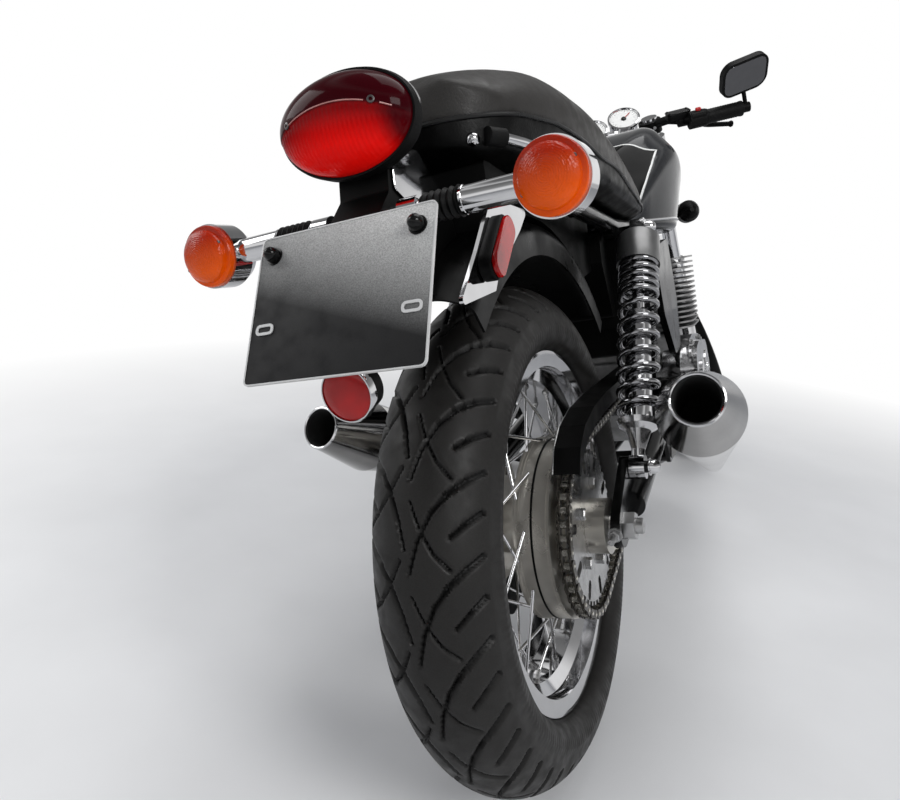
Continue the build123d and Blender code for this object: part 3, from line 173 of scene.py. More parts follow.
PLATE_LIGHT = surface("plate_light", (0.55, 0.55, 0.54), 0.4, vary=0.06)
LINE_WHITE = surface("line_white", (0.72, 0.72, 0.70), 0.25, vary=0.03, coat=0.5)
DIAL_WHITE = surface("dial_white", (0.70, 0.70, 0.68), 0.35, vary=0.03)
RED_PLASTIC = surface("red_plastic", (0.45, 0.012, 0.010), 0.35, vary=0.1)
MIRROR_GLASS = surface("mirror_glass", (0.11, 0.11, 0.115), 0.04, metallic=1.0, vary=0.03, spread=0.02)
# Pale pink for the tail lens's edge line: a painted highlight
LENS_EDGE_HIGHLIGHT = surface("lens_edge_highlight", (0.50, 0.22, 0.20), 0.15, vary=0.1, coat=0.3)
SOOT = surface("soot", (0.006, 0.006, 0.006), 0.85, vary=0.4)


def by_shade(name, low, high, roughness, start=0.0, coat=0.0, grain=0.0, specular=0.5, bump=0.0):
    """A surface whose colour goes from one to another with the mesh's own shade value, which paints light and
    shade into it.
    """
    material, tree, shader = node_tree(name)
    shader.inputs["Specular IOR Level"].default_value = specular
    value = tree.nodes.new("ShaderNodeAttribute")
    value.attribute_name = "shade"
    share = remap(tree, value.outputs["Fac"], 0, 1, start, 1.0)
    base = mixed(tree, share, low, high)
    speck = noise(tree, 900, 2.0)
    shaded = tree.nodes.new("ShaderNodeMix")
    shaded.data_type = "RGBA"
    shaded.blend_type = "MULTIPLY"
    shaded.inputs["Factor"].default_value = 1.0
    tree.links.new(base, shaded.inputs["A"])
    tree.links.new(mixed(tree, remap(tree, speck, 0, 1), (1 - grain,) * 3, (1, 1, 1)), shaded.inputs["B"])
    tree.links.new(shaded.outputs["Result"], shader.inputs["Base Color"])
    gloss = remap(tree, noise(tree, 60), roughness * 0.75, min(1.0, roughness * 1.25))
    tree.links.new(gloss, shader.inputs["Roughness"])
    shader.inputs["Coat Weight"].default_value = coat
    if bump:
        bumped(tree, shader, noise(tree, 420, 2.0), bump, 0.0008)
    return material


# Tyre rubber: painted darker with the groove depth, as painted shade in the grooves
RUBBER_GROOVE_SHADE = by_shade("tyre_rubber", (0.017, 0.016, 0.015), (0.003, 0.003, 0.003), 0.50, grain=0.35,
                  specular=0.22)
# Number plate: painted light and shade across the blank sheet, from dark to light
PLATE_PAINTED_LIGHT = by_shade("plate_blank", (0.006, 0.006, 0.007), (0.72, 0.72, 0.70), 0.5, start=0.40, grain=0.45,
                        specular=0.2)
# Tail lens: dark maroon above the edge line and red below it, the red carrying painted light and shade
TAIL_RED_PAINTED_LIGHT = by_shade("tail_red", (0.034, 0.001, 0.003), (0.95, 0.006, 0.004), 0.10, coat=0.02, specular=0.05)
# Amber lenses: dark at the top and light at the bottom from the shade value, as painted light and shade
AMBER_PAINTED_LIGHT = by_shade("amber_lens", (0.36, 0.016, 0.001), (0.84, 0.10, 0.001), 0.14, coat=0.06, specular=0.2,
                      bump=0.8)
# Seat: near black below the cushion's lower edge, and a lighter black above it that is a painted sheen
LEATHER_PAINTED_SHEEN = by_shade("seat_leather", (0.0008, 0.0008, 0.0008), (0.036, 0.034, 0.032), 0.42, grain=0.2,
                   specular=0.12, bump=0.3)


def clear_plastic(name, colour, weight, roughness=0.08):
    """A tinted clear lens."""
    material, tree, shader = node_tree(name)
    deep = [channel * 0.6 for channel in colour]
    tree.links.new(mixed(tree, remap(tree, noise(tree, 30), 0, 1), deep, colour), shader.inputs["Base Color"])
    shader.inputs["Roughness"].default_value = roughness
    shader.inputs["Transmission Weight"].default_value = weight
    shader.inputs["IOR"].default_value = 1.49
    shader.inputs["Specular IOR Level"].default_value = 0.3
    shader.inputs["Coat Weight"].default_value = 0.15
    return material


RED_LENS = clear_plastic("red_lens", (0.60, 0.004, 0.004), 0.2)
GLASS = clear_plastic("lamp_glass", (0.9, 0.92, 0.94), 0.9, 0.03)

SLOT_MATERIALS = {
    "black_frame": GLOSS_BLACK, "black_satin": SATIN_BLACK, "steel": STEEL, "chain_steel": CHAIN_STEEL,
    "chrome": CHROME, "spring_chrome": SPRING_CHROME, "cast_alloy": CAST_ALLOY, "polished_alloy": POLISHED,
    "fork_alloy": POLISHED, "hub_alloy": BRUSHED, "tank_paint": TANK, "panel_paint": PANEL,
    "fender_black": FENDER_BLACK, "seat_leather": LEATHER_PAINTED_SHEEN, "red_lens": RED_LENS, "amber_lens": AMBER_PAINTED_LIGHT,
    "lamp_glass": GLASS, "plate_white": PLATE_LIGHT, "grip_rubber": GRIP, "rear_tyre_rubber": RUBBER_GROOVE_SHADE,
    "front_tyre_rubber": RUBBER_GROOVE_SHADE,
}
NODE_SLOT = {part["node"]: part["material_slot"] for part in frame["record"]["subparts"]}
for name, node in NODES.items():
    for index in range(len(node.material_slots)):
        node.material_slots[index].material = SLOT_MATERIALS[NODE_SLOT[name]]
# The silencers get the darkened chrome, a painted reflection
for slot in NODES["silencers"].material_slots:
    slot.material = CHROME_PAINTED_DARK


# Making pieces. Their points are in millimetres in one of the two frames.
MM = Matrix.Scale(0.001, 4)
CORNER_STEPS, SMALLEST_R = 5, 0.02
BODY_OF = {node: body for body, nodes in frame["record"]["behaviour"]["bodies"].items() for node in nodes}
CHASSIS, STEERED, REAR_WHEEL, FRONT_WHEEL = "chassis", "steering_group", "rear_wheel", "front_wheel"
PLACES = {CHASSIS: BIKE, REAR_WHEEL: BIKE, STEERED: FORK, FRONT_WHEEL: FORK}
REAR_AXLE = Vector((0, 0, AXLE_HEIGHT * 1000))
FRONT_AXLE = Vector((0, FORK_OFFSET * 1000, FORK_ALONG * 1000))


def piece(name, parts, material, body=CHASSIS, sharp=35.0, shade=None):
    """One mesh from parts, each its points and faces, riding on a body and drawn in its frame."""
    points, faces = [], []
    for some_points, some_faces in parts:
        start = len(points)
        points += some_points
        faces += [[start + index for index in face] for face in some_faces]
    mesh = bpy.data.meshes.new(name)
    matrix = PLACES[body] @ MM
    mesh.from_pydata([matrix @ Vector(point) for point in points], [], faces)
    mesh.materials.append(material)
    work = bmesh.new()
    work.from_mesh(mesh)
    bmesh.ops.recalc_face_normals(work, faces=work.faces)
    work.to_mesh(mesh)
    work.free()
    mesh.shade_smooth()
    mesh.set_sharp_from_angle(angle=math.radians(sharp))
    if shade:
        values = mesh.attributes.new("shade", "FLOAT", "POINT")
        values.data.foreach_set("value", shade)
    made = bpy.data.objects.new(name, mesh)
    bpy.context.scene.collection.objects.link(made)
    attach(made, body)
    return made


def rings(loops, round_trip=False):
    """A closed skin over loops of points, with a face at each end unless the last meets the first."""
    count = len(loops[0])
    points = [Vector(point) for loop in loops for point in loop]
    faces = []
    for low in range(len(loops) if round_trip else len(loops) - 1):
        here, there = low * count, (low + 1) % len(loops) * count
        for index in range(count):
            after = (index + 1) % count
            faces.append((here + index, here + after, there + after, there + index))
    if not round_trip:
        faces += [tuple(range(count)), tuple(range(len(points) - count, len(points)))]
    return points, faces


def turned(at, axis, profile, sides=36):
    """A solid of revolution from (distance along the axis, radius) pairs."""
    at, axis = Vector(at), Vector(axis).normalized()
    side = (Vector((1, 0, 0)) if abs(axis.x) < 0.9 else Vector((0, 0, 1))).cross(axis).normalized()
    other = axis.cross(side)
    loops = []
    for along, radius in profile:
        loop = []
        for index in range(sides):
            turn = 2 * math.pi * index / sides
            out = side * math.cos(turn) + other * math.sin(turn)
            loop.append(at + axis * along + out * max(radius, SMALLEST_R))
        loops.append(loop)
    return rings(loops)


def hexagon(at, axis, across, height):
    """A bolt head with a chamfered top."""
    return turned(at, axis, [(0, across / 2), (height * 0.8, across / 2), (height, across * 0.4)], 6)


def cap_screw(at, axis, radius, height):
    """A round screw head with a sunk socket."""
    return turned(at, axis, [
        (0, radius), (height * 0.85, radius), (height, radius * 0.88), (height, radius * 0.5),
        (height * 0.45, radius * 0.45), (height * 0.45, 0),
    ], 18)


def acorn(at, axis, radius):
    """A domed nut on its washer."""
    return turned(at, axis, [
        (0, radius * 1.25), (1.4, radius * 1.25), (1.5, radius), (radius * 0.7, radius),
        (radius * 1.15, radius * 0.82), (radius * 1.45, radius * 0.45), (radius * 1.55, 0),
    ], 24)


def tube(line, radius, sides=12, closed=False):
    """A round skin along a line of points."""
    line = [Vector(point) for point in line]
    count = len(line)
    loops, side = [], None
    for index, point in enumerate(line):
        before = line[index - 1] if index or closed else point
        after = line[(index + 1) % count] if index < count - 1 or closed else point
        ahead = (after - before).normalized()
        side = (side - ahead * side.dot(ahead)).normalized() if side else ahead.orthogonal().normalized()
        other = ahead.cross(side)
        loop = []
        for step in range(sides):
            turn = 2 * math.pi * step / sides
            loop.append(point + (side * math.cos(turn) + other * math.sin(turn)) * radius)
        loops.append(loop)
    return rings(loops, closed)


def rounded(corners, bend):
    """A closed outline in a plane, with its corners rounded off."""
    outline = []
    for index, corner in enumerate(corners):
        corner = Vector(corner)
        back = Vector(corners[index - 1]) - corner
        on = Vector(corners[(index + 1) % len(corners)]) - corner
        run = min(bend / math.tan(back.angle(on) / 2), back.length * 0.49, on.length * 0.49)
        start, end = corner + back.normalized() * run, corner + on.normalized() * run
        for step in range(CORNER_STEPS + 1):
            share = step / CORNER_STEPS
            outline.append(start * (1 - share) ** 2 + corner * 2 * share * (1 - share) + end * share ** 2)
    return outline


def slab(outline, origin, across, up, low, high, edge=0.6):
    """An outline in the plane of two directions, from one level to another, with its edges taken off."""
    origin, across, up = Vector(origin), Vector(across).normalized(), Vector(up).normalized()
    normal = across.cross(up)
    centre = sum(outline, Vector((0, 0))) / len(outline)
    loops = []
    for level, inset in ((low, edge), (low + edge, 0), (high - edge, 0), (high, edge)):
        loop = []
        for point in outline:
            away = point - centre
            moved = centre + away * (1 - inset / away.length)
            loop.append(origin + across * moved.x + up * moved.y + normal * level)
        loops.append(loop)
    return rings(loops)


def box(size, bend):
    """The outline of a rounded rectangle."""
    half_x, half_y = size[0] / 2, size[1] / 2
    return rounded([(-half_x, -half_y), (half_x, -half_y), (half_x, half_y), (-half_x, half_y)], bend)


def surface_of(objects):
    """A search tree over meshes, for points laid on them."""
    points, faces = [], []
    for made in objects:
        start = len(points)
        points += [vertex.co.copy() for vertex in made.data.vertices]
        faces += [[start + index for index in polygon.vertices] for polygon in made.data.polygons]
    return BVHTree.FromPolygons(points, faces)


def laid_on(tree, start, direction, lift=0.0):
    """The point of a mesh seen from a start point in the machine's frame, lifted off it."""
    to_world = BIKE @ MM
    ahead = (BIKE.to_3x3() @ Vector(direction)).normalized()
    hit, normal, _, _ = tree.ray_cast(to_world @ Vector(start), ahead)
    if hit is None:
        return None
    if normal.dot(ahead) > 0:
        normal = -normal
    return to_world.inverted() @ (hit + normal * lift * 0.001)


def mirrored(parts):
    """Parts and their mirror images across the machine."""
    both = list(parts)
    for points, faces in parts:
        both.append(([Vector((-point[0], point[1], point[2])) for point in points], faces))
    return both


# Tyres: a closed shell whose crown carries the tread grooves, with the rubber painted darker the deeper the groove
# as painted shade
# Columns: width at the start and at the end in millimetres, then (degrees round, degrees across)
GROOVES = [
    (6.0, 2.6, [(0, 61), (2.0, 46), (4.6, 31), (8.2, 18), (12.6, 8), (18, 0.5)]),
    (6.0, 3.0, [(7.6, 61), (9.6, 47), (12.0, 33.5)]),
    (2.0, 3.0, [(6.0, 1.5), (10.4, 9.5), (14.6, 20.5), (17.5, 33)]),
    (6.0, 2.6, [(-4.0, -61), (-2.0, -46), (0.4, -31), (4.2, -18), (8.8, -9), (14, -3)]),
    (6.0, 3.0, [(3.6, -61), (5.6, -47), (8.0, -33.5)]),
    (2.0, 3.0, [(0, -7), (3, -15), (5.6, -23), (8.4, -37), (10, -50)]),
]
GROOVE_DEEP = 4.5


def groove_depth(turn, tilt, units, outer, crown):
    """How deep the tread is at a place on the tyre, from 0 to 1."""
    period = 360 / units
    scale_u = math.radians(1) * (outer - crown + crown * math.cos(math.radians(tilt)))
    scale_v = math.radians(1) * crown
    deepest = 0.0
    for start, end, line in GROOVES:
        runs = len(line) - 1
        for number, ((turn_a, tilt_a), (turn_b, tilt_b)) in enumerate(zip(line, line[1:])):
            for shift in (-2, -1, 0, 1, 2):
                ax, ay = (turn_a + shift * period - turn) * scale_u, (tilt_a - tilt) * scale_v
                bx, by = (turn_b + shift * period - turn) * scale_u, (tilt_b - tilt) * scale_v
                run = (bx - ax) ** 2 + (by - ay) ** 2
                along = max(0.0, min(1.0, -(ax * (bx - ax) + ay * (by - ay)) / run))
                distance = math.hypot(ax + along * (bx - ax), ay + along * (by - ay))
                half = (start + (end - start) * (number + along) / runs) / 2
                deepest = max(deepest, min(1.0, max(0.0, (half + 0.7 - distance) / 1.4)))
    return deepest


def tyre(name, node, centre, size, walls, units, columns, steps):
    """A tyre round an axle: tread grid over the crown with painted shade in its grooves, ribbed walls, beads and
    the inside.
    """
    outer, crown, shoulder = size
    tilts = [-shoulder + 2 * shoulder * index / columns for index in range(columns + 1)]
    unit = [[groove_depth(360 / units * step / steps, tilt, units, outer, crown) for tilt in tilts]
            for step in range(steps)]
    inner_x, inner_r = walls[-1][0] * 0.35, outer - 17
    low = walls + [(inner_x, inner_r), (-inner_x, inner_r)] + [(-x, r) for x, r in reversed(walls)]
    loops, shade = [], []
    around = units * steps
    for step in range(around):
        turn = math.radians(360 * step / around)
        outward = Vector((0, -math.cos(turn), -math.sin(turn)))
        rib = 0.5 if step % 4 < 2 else 0.0
        loop = []
        for tilt, depth in zip(tilts, unit[step % steps]):
            radius = crown - GROOVE_DEEP * depth
            angle = math.radians(tilt)
            across, height = radius * math.sin(angle), outer - crown + radius * math.cos(angle)
            loop.append(centre + Vector((across, 0, 0)) + outward * height)
            # Painted shade: the deeper the groove, the darker the rubber
            shade.append(depth)
        for index, (across, height) in enumerate(low):
            ribbed = rib if index in (2, 3, len(low) - 3, len(low) - 4) else 0.0
            loop.append(centre + Vector((across + math.copysign(ribbed, across), 0, 0)) + outward * height)
            shade.append(0.0)
        loops.append(loop)
    made = piece(name, [rings(loops, True)], RUBBER_GROOVE_SHADE, BODY_OF[node], 50, shade)
    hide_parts(node)


# Columns: x and radius, down the right wall, round its bead and back up the inside
REAR_WALL = [
    (65.6, 271.5), (68.6, 262), (68.9, 259.5), (67.9, 252.5), (67.4, 249.5), (63.0, 240), (56.5, 234.2),
    (50.2, 231.6), (44.9, 231.6), (44.9, 216.4), (35.7, 216.4), (36.5, 236), (52, 250), (55, 285),
]
FRONT_WALL = [
    (50.6, 281.5), (51.6, 273), (51.8, 270.5), (51.0, 264), (50.6, 261), (47.0, 253), (42.5, 247),
    (37.6, 244.2), (32.4, 244.2), (32.4, 229), (23.4, 229), (24.5, 249), (37, 262), (40, 290),
]
tyre("rear_tyre_tread", "rear_tyre", REAR_AXLE, (320, 70, 68), REAR_WALL, 23, 76, 36)
tyre("front_tyre_tread", "front_tyre", FRONT_AXLE, (319, 55, 66), FRONT_WALL, 26, 56, 28)

# Spoke nipples. Columns of a row: x at the hub, hub radius, x at the rim, swing, first angle
NIPPLE_R, NIPPLE_LONG, SPOKE_OUT_R = 3.1, 13.0, 2.1
REAR_ROWS = [(38.0, 117, 12.0, 34.0, 0.0), (27.0, 117, 5.0, -34.0, 18.0),
             (-48.0, 72, -12.0, 54.0, 9.0), (-38.0, 72, -5.0, -54.0, 27.0)]
FRONT_ROWS = [(40.0, 44, 11.0, 62.0, 0.0), (30.0, 44, 4.0, -62.0, 20.0),
              (-40.0, 44, -11.0, 62.0, 10.0), (-30.0, 44, -4.0, -62.0, 30.0)]
NIPPLE = [(0, NIPPLE_R * 1.3), (4, NIPPLE_R * 1.3), (5, NIPPLE_R), (NIPPLE_LONG, NIPPLE_R * 0.9),
          (NIPPLE_LONG, SPOKE_OUT_R)]


def nipples(name, node, centre, rim_r, count, rows):
    """The nipples where the spokes meet the rim."""
    parts = []
    for hub_x, hub_r, rim_x, swing, first in rows:
        for number in range(count // len(rows)):
            at_rim = math.radians(first + number * 360 * len(rows) / count)
            at_hub = at_rim + math.radians(swing)
            start = centre + Vector((hub_x, hub_r * math.sin(at_hub), hub_r * math.cos(at_hub)))
            end = centre + Vector((rim_x, rim_r * math.sin(at_rim), rim_r * math.cos(at_rim)))
            run = (start - end).normalized()
            parts.append(turned(end - run * 2, run, NIPPLE, 8))
    piece(name, parts, STEEL, BODY_OF[node])


nipples("rear_nipples", "rear_rim", REAR_AXLE, 195, 40, REAR_ROWS)
nipples("front_nipples", "front_rim", FRONT_AXLE, 210, 36, FRONT_ROWS)

# Chain: links round the two sprockets
CHAIN_X, LINKS, ARC_STEPS = 84.5, 112, 400
REAR_PITCH_R, FRONT_PITCH_R = 108.75, 45.7
OUTPUT = Vector((640, 395))
LINK_WAIST, LINK_END, ROLLER_R = 4.6, 7.0, 5.0
RIVET = [(0, 1.6), (0.7, 2.6), (17.7, 2.6), (18.4, 1.6)]


def chain_loop():
    """The places of the pins along the pitch line, as (y, z)."""
    rear = REAR_AXLE.yz
    reach = OUTPUT - rear
    rise = math.atan2(reach.y, reach.x)
    wrap = math.acos((REAR_PITCH_R - FRONT_PITCH_R) / reach.length)
    line = []
    for middle, radius, start, sweep in (
        (rear, REAR_PITCH_R, rise + wrap, 2 * math.pi - 2 * wrap),
        (OUTPUT, FRONT_PITCH_R, rise - wrap, 2 * wrap),
    ):
        for step in range(ARC_STEPS + 1):
            turn = start + sweep * step / ARC_STEPS
            line.append(middle + Vector((math.cos(turn), math.sin(turn))) * radius)
    lengths = [0.0]
    for here, there in zip(line, line[1:] + line[:1]):
        lengths.append(lengths[-1] + (there - here).length)
    pins, index = [], 0
    for link in range(LINKS):
        goal = lengths[-1] * link / LINKS
        while lengths[index + 1] < goal:
            index += 1
        share = (goal - lengths[index]) / (lengths[index + 1] - lengths[index])
        pins.append(line[index].lerp(line[(index + 1) % len(line)], share))
    return pins


def chain():
    """Side plates, rollers and riveted pins of every link."""
    pins = chain_loop()
    plates, rollers = [], []
    for number, pin in enumerate(pins):
        after = pins[(number + 1) % LINKS]
        pitch = (after - pin).length
        outline = []
        for end, start in ((pitch / 2, -1), (-pitch / 2, 1)):
            for step in range(7):
                turn = math.radians(-60 + 20 * step) + (0 if start < 0 else math.pi)
                outline.append(Vector((end + LINK_END * math.cos(turn), LINK_END * math.sin(turn))))
            outline.append(Vector((0, -LINK_WAIST * start)))
        ahead = Vector((0, *(after - pin).normalized()))
        middle = Vector((0, *((pin + after) / 2)))
        low = 6.2 if number % 2 else 4.0
        for side in (-1, 1):
            origin = middle + Vector((CHAIN_X, 0, 0))
            first, last = sorted((side * low, side * (low + 2)))
            plates.append(slab(outline, origin, ahead, Vector((1, 0, 0)).cross(ahead), first, last, 0.35))
        rollers.append(turned((CHAIN_X - 3.6, pin.x, pin.y), (1, 0, 0), [(0, ROLLER_R), (7.2, ROLLER_R)], 12))
        rollers.append(turned((CHAIN_X - 9.2, pin.x, pin.y), (1, 0, 0), RIVET, 10))
    plates_made = piece("chain_plates", plates, CHAIN_STEEL)
    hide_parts("chain")
    piece("chain_rollers", rollers, PIN_STEEL)


chain()

# Chain guard: a bright steel line along the inner edge of its top sheet, a painted highlight. Columns: y and z
GUARD_EDGE = [(-84, 416), (-66, 442), (-34, 461), (20, 472), (90, 476), (470, 473)]
GUARD_INSIDE = 73.8
piece("chain_guard_edge_highlight", [tube([(GUARD_INSIDE, y, z - 0.8) for y, z in GUARD_EDGE], 0.9, 8)],
      STEEL)

# Shocks: coil springs, tight at the top, with a cover above them and domed nuts on the studs
SHOCK_X = 141
SHOCK_FOOT, SHOCK_HEAD = Vector((SHOCK_X, 70, 375)), Vector((SHOCK_X, 285, 690))
SHOCK_RUN = SHOCK_HEAD - SHOCK_FOOT
COVER_FROM = SHOCK_RUN.length - 66
SPRING_SPAN = (68.0, COVER_FROM)
SPRING_LINE_R, WIRE_R = 26.2, 4.3
OPEN_COILS, TIGHT_COILS, TIGHT_SPAN, COIL_STEPS = 7.5, 4.5, 56.0, 22


def coil():
    """One spring along the right shock."""
    axis = SHOCK_RUN.normalized()
    side = Vector((1, 0, 0))
    other = axis.cross(side)
    low, high = SPRING_SPAN
    line = []
    for step in range(int((OPEN_COILS + TIGHT_COILS) * COIL_STEPS) + 1):
        turn = step / COIL_STEPS
        if turn <= OPEN_COILS:
            along = low + (high - low - TIGHT_SPAN) * turn / OPEN_COILS
        else:
            along = high - TIGHT_SPAN + TIGHT_SPAN * (turn - OPEN_COILS) / TIGHT_COILS
        angle = 2 * math.pi * turn
        out = side * math.cos(angle) + other * math.sin(angle)
        line.append(SHOCK_FOOT + axis * along + out * SPRING_LINE_R)
    return tube(line, WIRE_R, 10)


springs = piece("spring_coils", mirrored([coil()]), SPRING_CHROME, sharp=60)
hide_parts("shock_springs")
piece("shock_covers", mirrored([turned(SHOCK_FOOT, SHOCK_RUN, [
    (COVER_FROM, 30.4), (COVER_FROM - 1, 31.8), (COVER_FROM + 46, 31.8), (COVER_FROM + 50, 29),
    (COVER_FROM + 50, 21)])]), GREY_CAP)
piece("shock_dampers", mirrored([turned(SHOCK_FOOT, SHOCK_RUN, [
    (66, 18.6), (150, 18.6), (153, 17), (153, 8.6), (COVER_FROM, 8.6)])]), CHROME)
piece("shock_nuts", mirrored([
    acorn(SHOCK_FOOT + Vector((14.5, 0, 0)), (1, 0, 0), 9.5),
    acorn(SHOCK_HEAD + Vector((10.5, 0, 0)), (1, 0, 0), 10.5)]), CHROME)

# Tail lamp: a domed lens, ribbed below a curved line and with painted light and shade in its red, with a pale edge
# line that is a painted highlight, shell, gasket and screws
LAMP = Vector((0, -268, 797))
LENS_X, LENS_Z, LENS_DEEP, RIB_PITCH, RIB_HIGH = 67.0, 42.0, 34.0, 4.2, 0.16
LENS_COLUMNS, LENS_ROWS, RIM_STEPS = 190, 56, 96


def lens_line(x):
    """Height of the edge between the plain and the ribbed part of the lens."""
    return 12.0 - 0.004 * (x + 1) ** 2


def lens_share(x, z):
    """How far out a place is between the middle of the lens and its edge."""
    return min(1.0, math.hypot(x / LENS_X, z / LENS_Z))


def lens_out(x, z):
    """How far the plain dome stands out of the lamp's plane."""
    return 10.2 + LENS_DEEP * (1 - lens_share(x, z) ** 2.4) ** 0.5


def tail_lens():
    """The lens as a dome over an ellipse, with upright ribs and painted light and shade below its curved edge."""
    loops, shade = [], []
    for column in range(LENS_COLUMNS + 1):
        x = LENS_X * 0.9985 * (2 * column / LENS_COLUMNS - 1)
        reach = LENS_Z * math.sqrt(1 - (x / LENS_X) ** 2)
        loop = []
        for row in range(LENS_ROWS + 1):
            z = -reach * math.cos(math.pi * row / LENS_ROWS)
            below = min(1.0, max(0.0, (lens_line(x) - z) / 1.2))
            inside = min(1.0, (1 - lens_share(x, z)) / 0.06)
            rib = RIB_HIGH * below * inside * math.cos(2 * math.pi * x / RIB_PITCH)
            loop.append(LAMP + Vector((x, -lens_out(x, z) + below * inside - rib, z)))
            # Painted light and shade: the red is lighter towards the bottom, darker towards the edge line and at
            # the right end
            bright = 0.22 + 0.78 * min(1.0, max(0.0, (lens_line(x) - z - 6) / 26))
            shade.append(below * bright * min(1.0, max(0.12, (58 - x) / 16)))
        loop += [LAMP + Vector((x, -10.1, reach)), LAMP + Vector((x, -10.1, -reach))]
        shade += [0.0, 0.0]
        loops.append(loop)
    made = piece("tail_lens", [rings(loops)], TAIL_RED_PAINTED_LIGHT, sharp=60, shade=shade)
    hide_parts("tail_lamp_lens")


def ellipse_loop(y, grow, share=1.0, drop=0.0):
    """An ellipse round the lamp, in its plane or with its lower half set back by the drop."""
    loop = []
    for index in range(RIM_STEPS):
        turn = 2 * math.pi * index / RIM_STEPS
        back = drop * min(1.0, max(0.0, 0.25 - 1.5 * math.sin(turn)))
        loop.append(LAMP + Vector(((LENS_X + grow) * share * math.cos(turn), y + back,
                                   (LENS_Z + grow) * share * math.sin(turn))))
    return loop


tail_lens()
# A pale tube along the lens's edge line, where the moulded step catches the light: painted highlight
for name, first, last in (("long", -45, 37), ("short", 49, 58)):
    edge = [(x, lens_line(x) + 0.2) for x in range(first, last + 1, 2)]
    edge = [LAMP + Vector((x, 0.1 - lens_out(x, z), z)) for x, z in edge]
    piece("tail_lamp_edge_highlight_" + name, [tube(edge, 0.55, 6)], LENS_EDGE_HIGHLIGHT)
piece("tail_lamp_shell", [rings([
    ellipse_loop(-10.4, 0.5), ellipse_loop(-10.6, 1.8), ellipse_loop(-8, 2.6), ellipse_loop(0, 2.8),
    ellipse_loop(20, 3.4, 0.80), ellipse_loop(36.8, 3.4, 0.62), ellipse_loop(36.8, 2.5, 0.2),
    ellipse_loop(36.3, 1.0, 0.2), ellipse_loop(36.2, 2.2, 0.61), ellipse_loop(20, 2.4, 0.80),
    ellipse_loop(0, 2.3), ellipse_loop(-9, 2.1), ellipse_loop(-10.1, 0.5),
], True)], CHROME, sharp=50)
piece("tail_lamp_gasket", [rings([
    ellipse_loop(-12.4, 0.3), ellipse_loop(-12.4, 2.2), ellipse_loop(-9, 3.0),
    ellipse_loop(-5, 3.3, 1.0, 8.0), ellipse_loop(-5.6, 2.9, 1.0, 8.0), ellipse_loop(-9, 2.8),
    ellipse_loop(-10.7, 1.9), ellipse_loop(-10.7, 0.3)], True)], GRIP)
SCREW_X, SCREW_Z = 43, 6.0
screws = []
for side in (-1, 1):
    axis = Vector((0.42 * side, -1, 0.12)).normalized()
    head = LAMP + Vector((SCREW_X * side, -lens_out(SCREW_X, SCREW_Z), SCREW_Z))
    screws.append(cap_screw(head - axis * 0.8, axis, 3.2, 1.5))
piece("tail_lamp_screws", screws, DARK_STEEL)
CHEEK = rounded([(-150, 724), (-206, 778), (-258, 772), (-262, 738), (-236, 724)], 6)
piece("lamp_cheeks", mirrored([slab(CHEEK, (26.6, 0, 0), (0, 1, 0), (0, 0, 1), 0, 1.8)]),
      CHROME)

# Indicators: ringed lenses in bright bodies, with two screws each, and bellows and sleeves on the rear bar
LENS_R, LENS_STEPS = 30.0, 26
INDICATOR_X, BAR_Y, BAR_Z = 176.5, -271.3, 714
AHEAD = Vector((0, math.cos(RAKE), -math.sin(RAKE)))


def ringed_lens(at, axis):
    """A domed lens with a plain edge and fine rings inside it."""
    profile = [(0.2, LENS_R), (5.0, LENS_R), (6.4, LENS_R - 0.8), (6.9, LENS_R - 4.4)]
    for step in range(LENS_STEPS):
        radius = (LENS_R - 5.2) * (1 - step / LENS_STEPS)
        height = 7.6 + 12.6 * math.sqrt(max(0.0, 1 - (radius / (LENS_R - 4)) ** 2))
        profile.append((height - (0.2 if step % 2 else 0.0), radius))
    profile.append((20.2, 0))
    return turned(at, axis, profile, 64)


def indicators(name, node, centres, axis):
    """A pair of lenses with painted light and shade, lighter at the bottom, and their screws."""
    parts = [ringed_lens(at, axis) for at in centres]
    shade = []
    for at, (points, _) in zip(centres, parts):
        # Painted light and shade: each lens is lighter towards its bottom and darker towards its top
        shade += [min(1.0, max(0.0, 0.5 - (point.z - at[2]) / (LENS_R * 1.1))) for point in points]
    made = piece(name, parts, AMBER_PAINTED_LIGHT, BODY_OF[node], sharp=18, shade=shade)
    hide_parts(node)
    axis = Vector(axis).normalized()
    side = Vector((1, 0, 0))
    other = axis.cross(side)
    screws = []
    for at in centres:
        for turn in (25, 205):
            offset = side * math.cos(math.radians(turn)) + other * math.sin(math.radians(turn))
            screws.append(cap_screw(Vector(at) + offset * 23.6 + axis * 9, axis, 2.1, 2.6))
    piece(name + "_screws", screws, DARK_STEEL, BODY_OF[node])


indicators("rear_amber", "rear_indicator_lenses", [
    (INDICATOR_X * side, BAR_Y - 14, BAR_Z) for side in (-1, 1)], (0, -1, 0))
indicators("front_amber", "front_indicator_lenses", [
    Vector((INDICATOR_X * side, 102.396, 770)) + AHEAD * 14 for side in (-1, 1)], AHEAD)
BELLOWS = [(0, 11.3)] + [(0.8 + 3.1 * step, 13.6 if step % 2 else 11.6) for step in range(12)]
BELLOWS += [(35.6, 11.3)]
piece("indicator_bellows", mirrored([turned((58.4, BAR_Y, BAR_Z), (1, 0, 0), BELLOWS, 28)]),
      GRIP)
piece("indicator_sleeves", mirrored([turned((94.6, BAR_Y, BAR_Z), (1, 0, 0), [
    (0, 11.2), (0.6, 12.2), (3, 12.6), (3.6, 12.0), (48, 12.0), (52, 11.2)], 32)]), CHROME)

